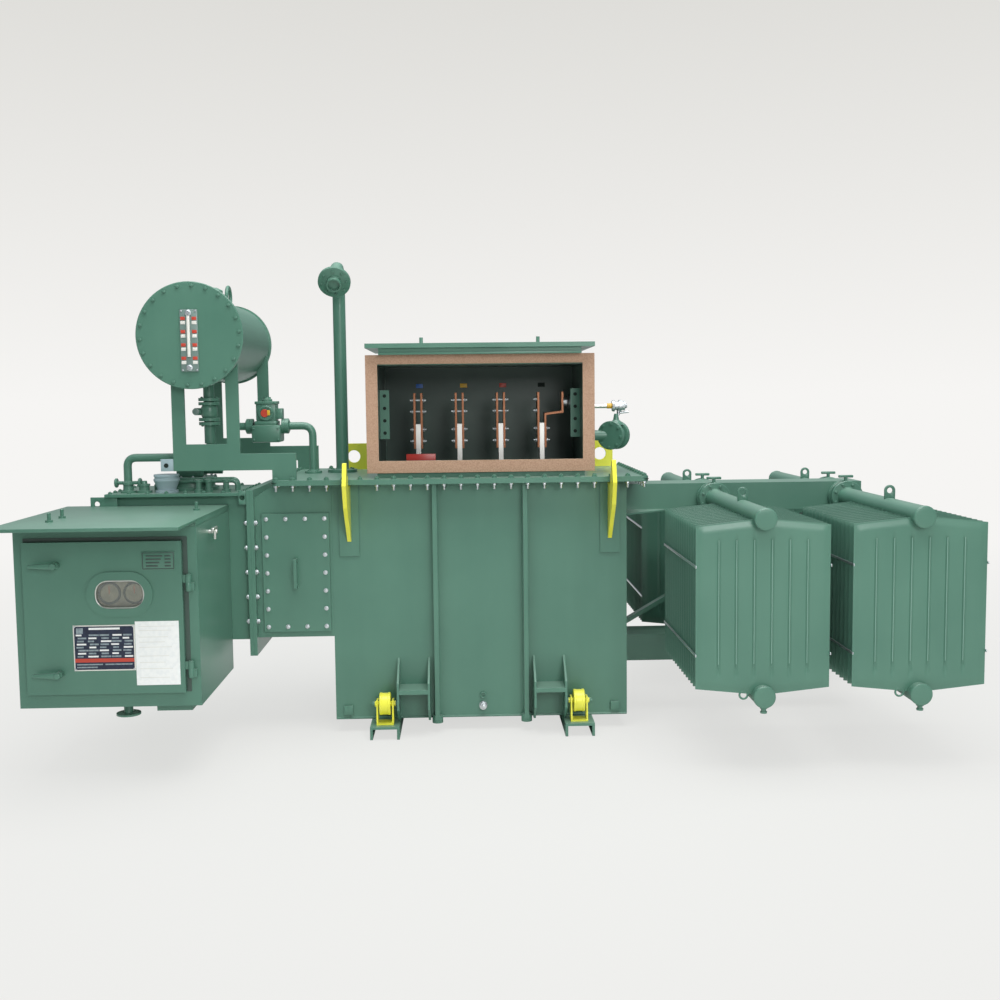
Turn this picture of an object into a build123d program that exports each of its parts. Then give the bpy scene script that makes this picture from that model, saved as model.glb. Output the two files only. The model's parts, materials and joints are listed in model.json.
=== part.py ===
from build123d import *
import os

# Oil-filled power transformer with an on-load tap changer at its left end and four
# detachable radiators at its right end. Millimetres, Z up, front towards -Y.
# Everything is drawn about the middle of the main tank and moved at the end, so that
# the origin lies on the ground under the middle of the whole transformer.

# Main tank
tank_width = 1312
tank_depth = 710
tank_bottom = 58
rim_top = 1131
rim_thickness = 11
cover_thickness = 12
rim_front_overhang = 91
rim_end_overhang = 87
cover_left_reach = 250
plate = 6

# Runners and rollers
skid_spacing = 860
skid_width = 130
skid_web = 12
roller_radius = 50
roller_width = 50
axle_radius = 12
axle_clearance = 0.1
roller_side_gap = 6
ear_thickness = 7
roller_inset = 65
roller_tank_gap = 30
axle_height = 88

# Jacking pockets, stiffeners, drain
pocket_inner = 230
pocket_width = 146
pocket_side = 10
pocket_reach = 125
pocket_pad_top = 214
pocket_pad = 20
pocket_top = 335
stiffener_x = 200
stiffener_thickness = 20
stiffener_depth = 50
foot_radius = 24
foot_height = 32
foot_drop = 16
drain_x = 5
drain_height = 112
drain_radius = 16

# Lifting gear
hook_x = 580
hook_thickness = 18
hook_bottom = 862
hook_top = 1219
hook_reach = 200
hook_clearance = 6
hook_pad_width = 88
hook_pad_thickness = 8
hook_pad_bottom = 797
lug_x = 615
lug_y = 330
lug_size = 129
lug_hole_radius = 31
lug_thickness = 16

# Low voltage cable box
lv_x = 10
lv_width = 922
lv_height = 503
lv_depth = 520
lv_front = -347
lv_opening_width = 916
lv_opening_height = 425
lv_opening_bottom = 1218
lv_frame_width = 1010
lv_frame_height = 520
lv_frame_bottom = 1164
lv_frame_thickness = 8
gasket_thickness = 6
canopy_side_inset = 3.5
canopy_skirt_height = 19
canopy_skirt_inset = 58
canopy_depth = 640
canopy_bottom = 1712
canopy_front_reach = 60
canopy_post_inset = 60
canopy_stud_x = 260
canopy_stud_radius = 8
canopy_stud_height = 30
canopy_thickness = 20
canopy_post_radius = 12
phase_count = 4
phase_pitch = 190
palm_width = 80
palm_thickness = 22
palm_top = 1375
bar_thickness = 10
bar_bottom = 1261
bar_top = 1517
bar_crank = 1410
terminal_y = -100
bushing_radius = 24
bushing_length = 70
bushing_height = 1470
side_flat_width = 43
side_flat_height = 221
side_flat_bottom = 1310
side_flat_set_back = 150

# Neutral stub and filter valve on the right side of the cable box
stub_height = 1448
stub_y = -110
stub_radius = 24
stub_tube_length = 90
stub_tip_radius = 16
stub_tip_length = 60
clamp_size = 54
valve_height = 1313
valve_y = -130
valve_reach = 120
valve_pipe_radius = 24
valve_flange_radius = 58
valve_body_length = 66
valve_stem_radius = 14
valve_stem_height = 95

# High voltage cable box on the rear wall
hv_width = 700
hv_depth = 230
hv_bottom = 420
hv_height = 600
hv_cover_thickness = 10

# Relief pipe
vent_x = -652
vent_y = 120
vent_radius = 30
vent_bend = 70
vent_corner = 2153
vent_mouth_height = 2036
vent_mouth_reach = 180
vent_disc_radius = 75
vent_disc_thickness = 18
vent_outlet_radius = 34
vent_outlet_length = 30
vent_sides = 12
vent_foot_radius = 70
vent_foot_thickness = 14

# Conservator
conservator_x = -1232
conservator_height = 1772
conservator_radius = 182
conservator_flange_radius = 222
conservator_front = -480
conservator_length = 946
flange_thickness = 12
gauge_length = 250
gauge_width = 72
gauge_depth = 12
filler_y = 65
filler_radius = 30
filler_height = 70
ring_y = 400
ring_radius = 58
ring_hole_radius = 40
ring_thickness = 20
ring_lift = 48
support_y = 400
support_thickness = 14
leg_width = 56
leg_left = -1332
leg_right = -1098
beam_bottom = 1188
beam_top = 1304
support_right = -800
foot_left = -905
cons_pipe_radius = 24
cons_pipe_y = -300
cons_pipe_offset = 40
cons_valve_radius = 46
cons_valve_heights = (1385, 1505)

# Gas relay
relay_reach = 89
relay_y = 60
relay_height = 1369
relay_size = 134
relay_below = 75
relay_above = 20
relay_turret_radius = 50
relay_turret_top = 138
relay_pipe_radius = 18
relay_flange_radius = 36
relay_flange = 40
relay_rise_offset = 60
relay_fall_inset = 122

# Throat and tap changer
throat_bottom = 437
throat_depth = 640
joint_x = -1010
joint_flange = 16
joint_rim = 36
joint_bottom = 362
joint_top = 1100
changer_left = -1600
changer_depth = 420
changer_bottom = 430
changer_top = 1075
changer_cover_thickness = 14
changer_overhang = 40
inspection_left = -965
inspection_right = -668
inspection_bottom = 462
inspection_top = 992
inspection_thickness = 12
grip_radius = 7
grip_reach = 40
grip_length = 130
head_radius = 120
head_height = 60
gear_top = 110
side_cylinder_x = -1390
side_cylinder_radius = 55
side_cylinder_height = 80
bend_x = (-1560, -1490)
bend_height = 130
bend_radius = 30
bend_pipe_radius = 20
bend_sides = 8

# Control cabinet
cabinet_left = -1815
cabinet_right = -1109
cabinet_front = -996
cabinet_bottom = 300
cabinet_top = 1008
cabinet_wall = 3
roof_front_reach = 280
roof_thickness = 10
roof_slope = 20
roof_lip = 22
door_left = -1776
door_right = -1165
door_bottom = 358
door_top = 955
door_depth = 22
door_gap = 2
door_lap = 20
hinge_x = -1143
hinge_radius = 11
hinge_length = 31
hinge_pin_radius = 5
hinge_clearance = 0.1
hinge_gap = 0.3
hinge_heights = (790, 448)
hinge_leaf = 6
hinge_leaf_width = 22
window_x = -1406
window_z = 750
window_width = 192
window_height = 112
window_ring = 32
cable_stub_x = -1430
cable_stub_set_back = 120
cable_stub_length = 62
cable_stub_radius = 18
cable_disc_radius = 48
cable_disc_thickness = 8
gland_plate_x = (-1300, -1160)
gland_plate_y = (60, 260)
gland_plate_depth = 34
handle_x = -1645
handle_heights = (867, 441)
handle_length = 112
handle_boss_radius = 14
handle_boss_length = 26
lever_thickness = 18
lever_height = 30
spindle_radius = 8

# Radiators and their header boxes
radiator_x = (1095, 1715)
radiator_width = 530
panel_bottom = 342
panel_top = 987
panel_peak = 23
panel_count = 15
panel_pitch = 50
panel_thickness = 11
first_panel = 352
pipe_radius = 42
pipe_shoulder = 4
pipe_heights = (314, 1014)
pipe_front_reach = 38
header_half_depth = 100
header_right = 1800
top_header = (955, 1083)
bottom_header = (245, 370)
gusset_depth = 200
gusset_width = 230
gusset_thickness = 8
strut_lift = 12
strut_depth = 22
strut_width = 50
strut_end = 1646
valve_length = 66
valve_radius = 74
flute_count = 7
flute_height = 5
flute_length = 530
flute_end = 15
flute_foot = 0.8
flute_crown = 0.45
panel_rim = 20
pipe_sides = 10

# Worked out from the sizes above
skid_length = tank_depth + 2 * (roller_tank_gap + roller_radius + roller_inset)
tank_left = -tank_width / 2
tank_right = tank_width / 2
tank_front = -tank_depth / 2
tank_rear = tank_depth / 2
cover_bottom = rim_top
cover_top = cover_bottom + cover_thickness
cover_left = tank_left - cover_left_reach
cover_right = tank_right + rim_end_overhang
cover_front = tank_front - rim_front_overhang
cover_rear = tank_rear + rim_front_overhang
relay_x = cover_left - relay_reach
lv_left = lv_x - lv_width / 2
lv_right = lv_x + lv_width / 2
lv_rear = lv_front + lv_depth
lv_top = cover_top + lv_height
conservator_rear = conservator_front + conservator_length
last_panel = first_panel + (panel_count - 1) * panel_pitch
pipe_front = last_panel + panel_thickness / 2 + pipe_front_reach
radiator_right = radiator_x[1] + radiator_width / 2
origin_x = (cabinet_left + radiator_right) / 2
origin_y = (cabinet_front - roof_front_reach + pipe_front) / 2
door_back = cabinet_front - door_gap
door_face = door_back - door_depth
hinge_y = door_face + hinge_radius

os.makedirs("parts", exist_ok=True)


def block(x, y, z):
    """Box between two corners, given as its ranges along X, Y and Z."""
    middle = Pos((x[0] + x[1]) / 2, (y[0] + y[1]) / 2, (z[0] + z[1]) / 2)
    return middle * Box(x[1] - x[0], y[1] - y[0], z[1] - z[0])


def rod_x(radius, x, y, z):
    """Cylinder along X between the two x values."""
    return Pos((x[0] + x[1]) / 2, y, z) * Rot(0, 90, 0) * Cylinder(radius, x[1] - x[0])


def rod_y(radius, x, y, z):
    """Cylinder along Y between the two y values."""
    return Pos(x, (y[0] + y[1]) / 2, z) * Rot(90, 0, 0) * Cylinder(radius, y[1] - y[0])


def rod_z(radius, x, y, z):
    """Cylinder along Z between the two z values."""
    return Pos(x, y, (z[0] + z[1]) / 2) * Cylinder(radius, z[1] - z[0])


def plate_xz(points, y):
    """Flat plate with an outline in X and Z, from the first y to the second."""
    face = make_face(Polyline(*[(px, y[0], pz) for px, pz in points], close=True))
    return extrude(face, amount=y[1] - y[0], dir=(0, 1, 0))


def plate_yz(points, x):
    """Flat plate with an outline in Y and Z, from the first x to the second."""
    face = make_face(Polyline(*[(x[0], py, pz) for py, pz in points], close=True))
    return extrude(face, amount=x[1] - x[0], dir=(1, 0, 0))


def plate_xy(points, z):
    """Flat plate with an outline in X and Y, from the first z to the second."""
    face = make_face(Polyline(*[(px, py, z[0]) for px, py in points], close=True))
    return extrude(face, amount=z[1] - z[0], dir=(0, 0, 1))


def round_upright(solid, radius):
    """Round the corners of a plate that lies flat."""
    return fillet(solid.edges().filter_by(Axis.Z), radius)


def mirrored(solid):
    """The same piece on the other side of the plane through the tank's middle."""
    return mirror(solid, about=Plane.XZ)


def mirrored_left(solid):
    """The same piece on the other side of the plane across the tank's middle."""
    return mirror(solid, about=Plane.YZ)


def save(name, *solids):
    """Write one node, moved to the transformer's own origin."""
    moved = [Pos(-origin_x, -origin_y, 0) * solid for solid in solids]
    path = "parts/" + name + ".step"
    if len(moved) == 1:
        export_step(moved[0], path)
    else:
        export_step(Compound(children=[s for one in moved for s in one.solids()]), path)


def make_tank():
    body = block((tank_left, tank_right), (tank_front, tank_rear), (tank_bottom, rim_top))
    rim = block((cover_left, cover_right), (cover_front, cover_rear), (rim_top - rim_thickness, rim_top))
    body = body + round_upright(rim, 30)
    save("tank_body", body)
    cover = block((cover_left, cover_right), (cover_front, cover_rear), (cover_bottom, cover_top))
    save("tank_cover", round_upright(cover, 30))


def make_stiffeners():
    solids = []
    for x in (-stiffener_x, stiffener_x):
        flat = block(
            (x - stiffener_thickness / 2, x + stiffener_thickness / 2),
            (tank_front - stiffener_depth, tank_front),
            (tank_bottom, rim_top - rim_thickness),
        )
        foot_low = tank_bottom - foot_drop
        foot = rod_z(foot_radius, x, tank_front - foot_radius, (foot_low, foot_low + foot_height))
        solids.append(flat + foot)
        cut = block(
            (x - stiffener_thickness, x + stiffener_thickness),
            (tank_front - 2 * stiffener_depth, tank_front),
            (hv_bottom, rim_top),
        )
        short = flat - cut
        solids.append(mirrored(short + foot))
    save("tank_stiffeners", *solids)


def make_skids():
    solids = []
    for x in (-skid_spacing / 2, skid_spacing / 2):
        outer = block(
            (x - skid_width / 2, x + skid_width / 2), (-skid_length / 2, skid_length / 2), (0, tank_bottom)
        )
        hollow = block(
            (x - skid_width / 2 + skid_web, x + skid_width / 2 - skid_web),
            (-skid_length / 2 - 1, skid_length / 2 + 1),
            (-1, tank_bottom - skid_web),
        )
        solids.append(outer - hollow)
    save("base_skids", *solids)


def make_rollers():
    brackets = []
    roller_y = -(skid_length / 2 - roller_inset)
    axle_z = tank_bottom + axle_height
    inner = roller_width / 2 + roller_side_gap
    outer = inner + ear_thickness
    for name, x in (("left", -skid_spacing / 2), ("right", skid_spacing / 2)):
        base = block(
            (x - outer, x + outer), (roller_y - 35, roller_y + 35), (tank_bottom, tank_bottom + ear_thickness)
        )
        ears = []
        for inside, outside in ((x - inner, x - outer), (x + inner, x + outer)):
            low = min(inside, outside)
            ear = plate_yz(
                [
                    (roller_y - 35, tank_bottom),
                    (roller_y + 35, tank_bottom),
                    (roller_y + 20, axle_z + 20),
                    (roller_y - 20, axle_z + 20),
                ],
                (low, low + ear_thickness),
            )
            ears.append(ear)
        axle = rod_x(axle_radius, (x - outer - 8, x + outer + 8), roller_y, axle_z)
        bracket = base + ears[0] + ears[1] + axle
        brackets.append(bracket)
        brackets.append(mirrored(bracket))
        wheel = rod_x(roller_radius, (x - roller_width / 2, x + roller_width / 2), roller_y, axle_z)
        wheel = wheel - rod_x(axle_radius + axle_clearance, (x - outer, x + outer), roller_y, axle_z)
        save("roller_front_" + name, wheel)
        save("roller_rear_" + name, mirrored(wheel))
    save("roller_brackets", *brackets)


def make_pockets():
    pockets = []
    for side in (-1, 1):
        inner = pocket_inner
        outer = pocket_inner + pocket_width
        sides = []
        for x in (inner, outer):
            low = x if x == inner else x - pocket_side
            sides.append(
                plate_yz(
                    [
                        (tank_front, tank_bottom),
                        (tank_front - 45, tank_bottom),
                        (tank_front - pocket_reach, pocket_pad_top - pocket_pad - 70),
                        (tank_front - pocket_reach, pocket_pad_top + 30),
                        (tank_front, pocket_top),
                    ],
                    (low, low + pocket_side),
                )
            )
        pad = block(
            (inner + pocket_side, outer - pocket_side),
            (tank_front - pocket_reach, tank_front),
            (pocket_pad_top - pocket_pad, pocket_pad_top),
        )
        pocket = sides[0] + sides[1] + pad
        if side < 0:
            pocket = mirrored_left(pocket)
        pockets.append(pocket)
        pockets.append(mirrored(pocket))
    save("jacking_brackets", *pockets)


def make_drain():
    boss = rod_y(drain_radius, drain_x, (tank_front - 20, tank_front), drain_height)
    nut = rod_y(drain_radius * 0.62, drain_x, (tank_front - 34, tank_front - 20), drain_height)
    save("drain_plug", boss + nut)


def make_hooks():
    hooks = []
    pads = []
    front = cover_front - hook_clearance
    wall = tank_front - hook_pad_thickness
    under = rim_top - rim_thickness - hook_clearance
    tip = tank_front - hook_reach
    outline = [
        (wall, hook_bottom),
        (wall, under),
        (front, under),
        (front, hook_top - 60),
        (front - 30, hook_top - 60),
        (front - 38, hook_top),
        (front - 66, hook_top),
        (tip, under + 10),
        (tip + 40, under - 90),
    ]
    for x in (-hook_x, hook_x):
        hook = plate_yz(outline, (x - hook_thickness / 2, x + hook_thickness / 2))
        pad = block(
            (x - hook_pad_width / 2, x + hook_pad_width / 2), (wall, tank_front), (hook_pad_bottom, under)
        )
        hooks.extend([hook, mirrored(hook)])
        pads.extend([pad, mirrored(pad)])
    save("lifting_hooks", *hooks)
    save("hook_pads", *pads)
    lugs = []
    for x in (-lug_x, lug_x):
        lug = block(
            (x - lug_size / 2, x + lug_size / 2),
            (lug_y - lug_thickness / 2, lug_y + lug_thickness / 2),
            (cover_top, cover_top + lug_size),
        )
        through = (lug_y - lug_thickness, lug_y + lug_thickness)
        hole = rod_y(lug_hole_radius, x, through, cover_top + lug_size / 2)
        lugs.append(lug - hole)
    save("cover_lifting_lugs", *lugs)


def make_lv_box():
    shell = block((lv_left, lv_right), (lv_front, lv_rear), (cover_top, lv_top))
    shell = shell - block(
        (lv_left + plate, lv_right - plate),
        (lv_front + plate, lv_rear - plate),
        (cover_top + plate, lv_top - plate),
    )
    opening = block(
        (lv_x - lv_opening_width / 2 + plate, lv_x + lv_opening_width / 2 - plate),
        (lv_front - 50, lv_front + plate + 1),
        (lv_opening_bottom, lv_opening_bottom + lv_opening_height),
    )
    frame = block(
        (lv_x - lv_frame_width / 2, lv_x + lv_frame_width / 2),
        (lv_front - lv_frame_thickness, lv_front),
        (lv_frame_bottom, lv_frame_bottom + lv_frame_height),
    )
    save("lv_box_body", shell + frame - opening)
    gasket_y = lv_front - lv_frame_thickness
    gasket = block(
        (lv_x - lv_frame_width / 2, lv_x + lv_frame_width / 2),
        (gasket_y - gasket_thickness, gasket_y),
        (lv_frame_bottom, lv_frame_bottom + lv_frame_height),
    )
    save("lv_box_gasket", gasket - opening)
    canopy_half = lv_frame_width / 2 - canopy_side_inset
    canopy_front = gasket_y - canopy_front_reach
    canopy = block(
        (lv_x - canopy_half, lv_x + canopy_half),
        (canopy_front, canopy_front + canopy_depth),
        (canopy_bottom, canopy_bottom + canopy_thickness),
    )
    skirt_half = canopy_half - canopy_skirt_inset
    canopy = canopy + block(
        (lv_x - skirt_half, lv_x + skirt_half),
        (canopy_front + canopy_skirt_height, canopy_front + 2 * canopy_skirt_height),
        (canopy_bottom - canopy_skirt_height, canopy_bottom),
    )
    for x in (lv_left + canopy_post_inset, lv_right - canopy_post_inset):
        for y in (lv_front + canopy_post_inset, lv_rear - canopy_post_inset):
            canopy = canopy + rod_z(canopy_post_radius, x, y, (lv_top, canopy_bottom))
    stud_top = canopy_bottom + canopy_thickness + canopy_stud_height
    for x in (lv_x - canopy_stud_x, lv_x + canopy_stud_x):
        stud = rod_z(canopy_stud_radius, x, lv_front + canopy_post_inset, (canopy_bottom, stud_top))
        canopy = canopy + stud
    save("lv_box_canopy", canopy)
    flats = []
    flat_y = lv_front + side_flat_set_back
    for x in (lv_left + plate, lv_right - plate - side_flat_width):
        flat = block(
            (x, x + side_flat_width),
            (flat_y, flat_y + plate),
            (side_flat_bottom, side_flat_bottom + side_flat_height),
        )
        flats.append(flat)
    save("lv_side_flats", *flats)
    palms = []
    bars = []
    across = (terminal_y - palm_width / 2, terminal_y + palm_width / 2)
    for index in range(phase_count):
        x = lv_x + (index - (phase_count - 1) / 2) * phase_pitch
        left = x - palm_thickness / 2
        right = x + palm_thickness / 2
        palms.append(block((left, right), across, (cover_top + plate, palm_top)))
        bars.append(block((left - bar_thickness, left), across, (bar_bottom, bar_top)))
        if index < phase_count - 1:
            bars.append(block((right, right + bar_thickness), across, (bar_bottom, bar_top)))
    bent_left = lv_right - plate - bushing_length - bar_thickness
    bent = plate_xz(
        [
            (right, bar_bottom),
            (right + bar_thickness, bar_bottom),
            (right + bar_thickness, bar_crank),
            (bent_left + bar_thickness, bar_crank + bar_thickness),
            (bent_left + bar_thickness, bar_top),
            (bent_left, bar_top),
            (bent_left, bar_crank + 2 * bar_thickness),
            (right, bar_crank + bar_thickness),
        ],
        across,
    )
    bars.append(bent)
    wall = lv_right - plate
    save("lv_wall_bushing", rod_x(bushing_radius, (wall - bushing_length, wall), terminal_y, bushing_height))
    save("lv_palms", *palms)
    save("lv_bars", *bars)


def make_side_fittings():
    end = lv_right + stub_tube_length
    clamp_left = end + stub_tip_length
    tube = rod_x(stub_radius, (lv_right, end), stub_y, stub_height)
    tip = rod_x(stub_tip_radius, (end, clamp_left), stub_y, stub_height)
    clamp = block(
        (clamp_left, clamp_left + clamp_size),
        (stub_y - clamp_size / 2, stub_y + clamp_size / 2),
        (stub_height - clamp_size / 2, stub_height + clamp_size / 2),
    )
    save("neutral_stub", tube + tip + clamp)
    middle = lv_right + valve_reach
    neck = rod_x(valve_pipe_radius, (lv_right, middle), valve_y, valve_height)
    half = valve_body_length / 2
    body = rod_y(valve_flange_radius, middle, (valve_y - half, valve_y + half), valve_height)
    stem = rod_z(valve_stem_radius, middle, valve_y, (valve_height, valve_height + valve_stem_height))
    save("filter_valve", neck + body + stem)


def make_hv_box():
    body = block(
        (-hv_width / 2, hv_width / 2),
        (tank_rear, tank_rear + hv_depth),
        (hv_bottom, hv_bottom + hv_height),
    )
    save("hv_cable_box", body)
    cover = block(
        (-hv_width / 2 - 30, hv_width / 2 + 30),
        (tank_rear + hv_depth, tank_rear + hv_depth + hv_cover_thickness),
        (hv_bottom - 30, hv_bottom + hv_height + 30),
    )
    save("hv_box_cover", cover)


def make_vent():
    path = FilletPolyline(
        (vent_x, vent_y, cover_top),
        (vent_x, vent_y, vent_corner),
        (vent_x, vent_y - vent_mouth_reach, vent_mouth_height),
        radius=vent_bend,
    )
    start = Plane(origin=(vent_x, vent_y, cover_top), z_dir=(0, 0, 1))
    pipe = sweep(start * RegularPolygon(vent_radius, vent_sides), path=path)
    foot = rod_z(vent_foot_radius, vent_x, vent_y, (cover_top, cover_top + vent_foot_thickness))
    mouth = Plane(origin=path @ 1, z_dir=path % 1)
    disc = mouth * Pos(0, 0, vent_disc_thickness / 2) * Cylinder(vent_disc_radius, vent_disc_thickness)
    outlet_middle = vent_disc_thickness + vent_outlet_length / 2
    outlet = mouth * Pos(0, 0, outlet_middle) * Cylinder(vent_outlet_radius, vent_outlet_length)
    save("vent_pipe", pipe + foot + disc + outlet)


def make_conservator():
    x = conservator_x
    z = conservator_height
    barrel = rod_y(conservator_radius, x, (conservator_front + 2 * flange_thickness, conservator_rear), z)
    barrel = barrel + rod_y(
        conservator_flange_radius,
        x,
        (conservator_front + flange_thickness, conservator_front + 2 * flange_thickness),
        z,
    )
    filler = rod_z(filler_radius, x, filler_y, (z, z + conservator_radius + filler_height))
    ring_z = z + conservator_radius + ring_lift
    ring = rod_x(ring_radius, (x - ring_thickness / 2, x + ring_thickness / 2), ring_y, ring_z)
    eye = rod_x(ring_hole_radius, (x - ring_radius, x + ring_radius), ring_y, ring_z)
    save("conservator_barrel", barrel + filler + (ring - eye))
    front = rod_y(conservator_flange_radius, x, (conservator_front, conservator_front + flange_thickness), z)
    rear = rod_y(conservator_radius + 12, x, (conservator_rear, conservator_rear + flange_thickness), z)
    save("conservator_ends", front, rear)
    gauge = block(
        (x - gauge_width / 2, x + gauge_width / 2),
        (conservator_front - gauge_depth, conservator_front),
        (z - gauge_length / 2, z + gauge_length / 2),
    )
    save("oil_gauge", gauge)
    supports = []
    arc_bottom = z - conservator_radius
    for y, right_foot in ((-support_y, True), (support_y, True)):
        outline = [
            (leg_left, beam_bottom),
            (support_right, beam_bottom),
            (support_right, beam_top - 43),
            (leg_right + leg_width, beam_top - 43),
            (leg_right + leg_width, z - 60),
            (leg_right, z - 60),
            (leg_right, beam_top),
            (leg_left + leg_width, beam_top),
            (leg_left + leg_width, z - 60),
            (leg_left, z - 60),
        ]
        support = plate_xz(outline, (y - support_thickness / 2, y + support_thickness / 2))
        foot = block(
            (foot_left, support_right),
            (y - support_thickness / 2, y + support_thickness / 2),
            (cover_top, beam_bottom),
        )
        support = support + foot
        support = support - rod_y(conservator_radius, x, (y - 50, y + 50), z)
        supports.append(support)
    save("conservator_supports", *supports)
    pipe_x = x + cons_pipe_offset
    pipe = rod_z(cons_pipe_radius, pipe_x, cons_pipe_y, (beam_bottom, arc_bottom + cons_pipe_offset))
    beside = (cons_pipe_y - 2 * cons_valve_radius, cons_pipe_y + 2 * cons_valve_radius)
    pipe = pipe - rod_y(conservator_radius, x, beside, z)
    valve_bottom, valve_top = cons_valve_heights
    pipe = pipe + rod_z(cons_valve_radius, pipe_x, cons_pipe_y, (valve_bottom, valve_top))
    save("conservator_piping", pipe)


def make_relay():
    half = relay_size / 2
    body = block(
        (relay_x - half, relay_x + half),
        (relay_y - half, relay_y + half),
        (relay_height - relay_below, relay_height + relay_above),
    )
    turret = rod_z(
        relay_turret_radius, relay_x, relay_y, (relay_height + relay_above, relay_height + relay_turret_top)
    )
    save("gas_relay", body + turret)
    rise_x = conservator_x + relay_rise_offset
    left = rod_x(relay_pipe_radius, (rise_x, relay_x - half), relay_y, relay_height)
    rise_top = conservator_height - conservator_radius / 2
    rise = rod_z(relay_pipe_radius, rise_x, relay_y, (relay_height, rise_top))
    beside = (relay_y - relay_size / 2, relay_y + relay_size / 2)
    rise = rise - rod_y(conservator_radius, conservator_x, beside, conservator_height)
    left_end = relay_x - half
    right_end = relay_x + half
    flange_left = rod_x(relay_flange_radius, (left_end - relay_flange, left_end), relay_y, relay_height)
    flange_right = rod_x(relay_flange_radius, (right_end, right_end + relay_flange), relay_y, relay_height)
    fall_x = cover_left + relay_fall_inset
    right = rod_x(relay_pipe_radius, (relay_x + half, fall_x), relay_y, relay_height)
    fall = rod_z(relay_pipe_radius, fall_x, relay_y, (cover_top, relay_height + relay_pipe_radius))
    save("relay_pipe", left + rise + flange_left, right + fall + flange_right)


def make_throat():
    flange_left = joint_x + joint_flange
    throat = plate_xz(
        [
            (flange_left, throat_bottom),
            (tank_left, throat_bottom),
            (tank_left, rim_top - rim_thickness),
            (cover_left, rim_top - rim_thickness),
            (flange_left, joint_top - joint_rim),
        ],
        (tank_front, tank_front + throat_depth),
    )
    rim_reach = (tank_front - joint_rim, tank_front + throat_depth + joint_rim)
    rim = block((joint_x, flange_left), rim_reach, (joint_bottom, joint_top))
    save("throat", throat + rim)
    body = block(
        (changer_left, joint_x - joint_flange),
        (tank_front, tank_front + changer_depth),
        (changer_bottom, changer_top),
    )
    changer_rim = block((joint_x - joint_flange, joint_x), rim_reach, (joint_bottom, joint_top))
    save("tap_changer_tank", body + changer_rim)
    cover = block(
        (changer_left - changer_overhang, joint_x - joint_flange),
        (tank_front - changer_overhang, tank_front + changer_depth + changer_overhang),
        (changer_top, changer_top + changer_cover_thickness),
    )
    save("tap_changer_cover", cover)
    top = changer_top + changer_cover_thickness
    middle_x = (changer_left + joint_x) / 2
    middle_y = tank_front + changer_depth / 2
    head = rod_z(head_radius, middle_x, middle_y, (top, top + head_height))
    gear = block(
        (middle_x - head_radius / 2, middle_x + head_radius / 2),
        (middle_y - head_radius / 2, middle_y + head_radius / 2),
        (top + head_height, top + gear_top),
    )
    save("tap_changer_head", head + gear)
    cylinder_y = tank_front + side_cylinder_radius
    cylinder = rod_z(side_cylinder_radius, side_cylinder_x, cylinder_y, (top, top + side_cylinder_height))
    save("tap_changer_cylinder", cylinder)
    bend = FilletPolyline(
        (bend_x[0], cylinder_y, top),
        (bend_x[0], cylinder_y, top + bend_height),
        (bend_x[1], cylinder_y, top + bend_height),
        (bend_x[1], cylinder_y, top),
        radius=bend_radius,
    )
    start = Plane(origin=(bend_x[0], cylinder_y, top), z_dir=(0, 0, 1))
    save("tap_changer_bend", sweep(start * RegularPolygon(bend_pipe_radius, bend_sides), path=bend))
    inspection = block(
        (inspection_left, inspection_right),
        (tank_front - inspection_thickness, tank_front),
        (inspection_bottom, inspection_top),
    )
    bar_x = (inspection_left + inspection_right) / 2
    bar_z = (inspection_bottom + inspection_top) / 2
    handle_y = tank_front - inspection_thickness
    grip_y = handle_y - grip_reach
    half = grip_length / 2
    handle = block(
        (bar_x - grip_radius, bar_x + grip_radius),
        (grip_y - grip_radius, grip_y + grip_radius),
        (bar_z - half, bar_z + half),
    )
    for z in (bar_z - half + grip_radius, bar_z + half - grip_radius):
        handle = handle + block(
            (bar_x - grip_radius, bar_x + grip_radius), (grip_y, handle_y), (z - grip_radius, z + grip_radius)
        )
    save("inspection_cover", inspection + handle)


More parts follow.
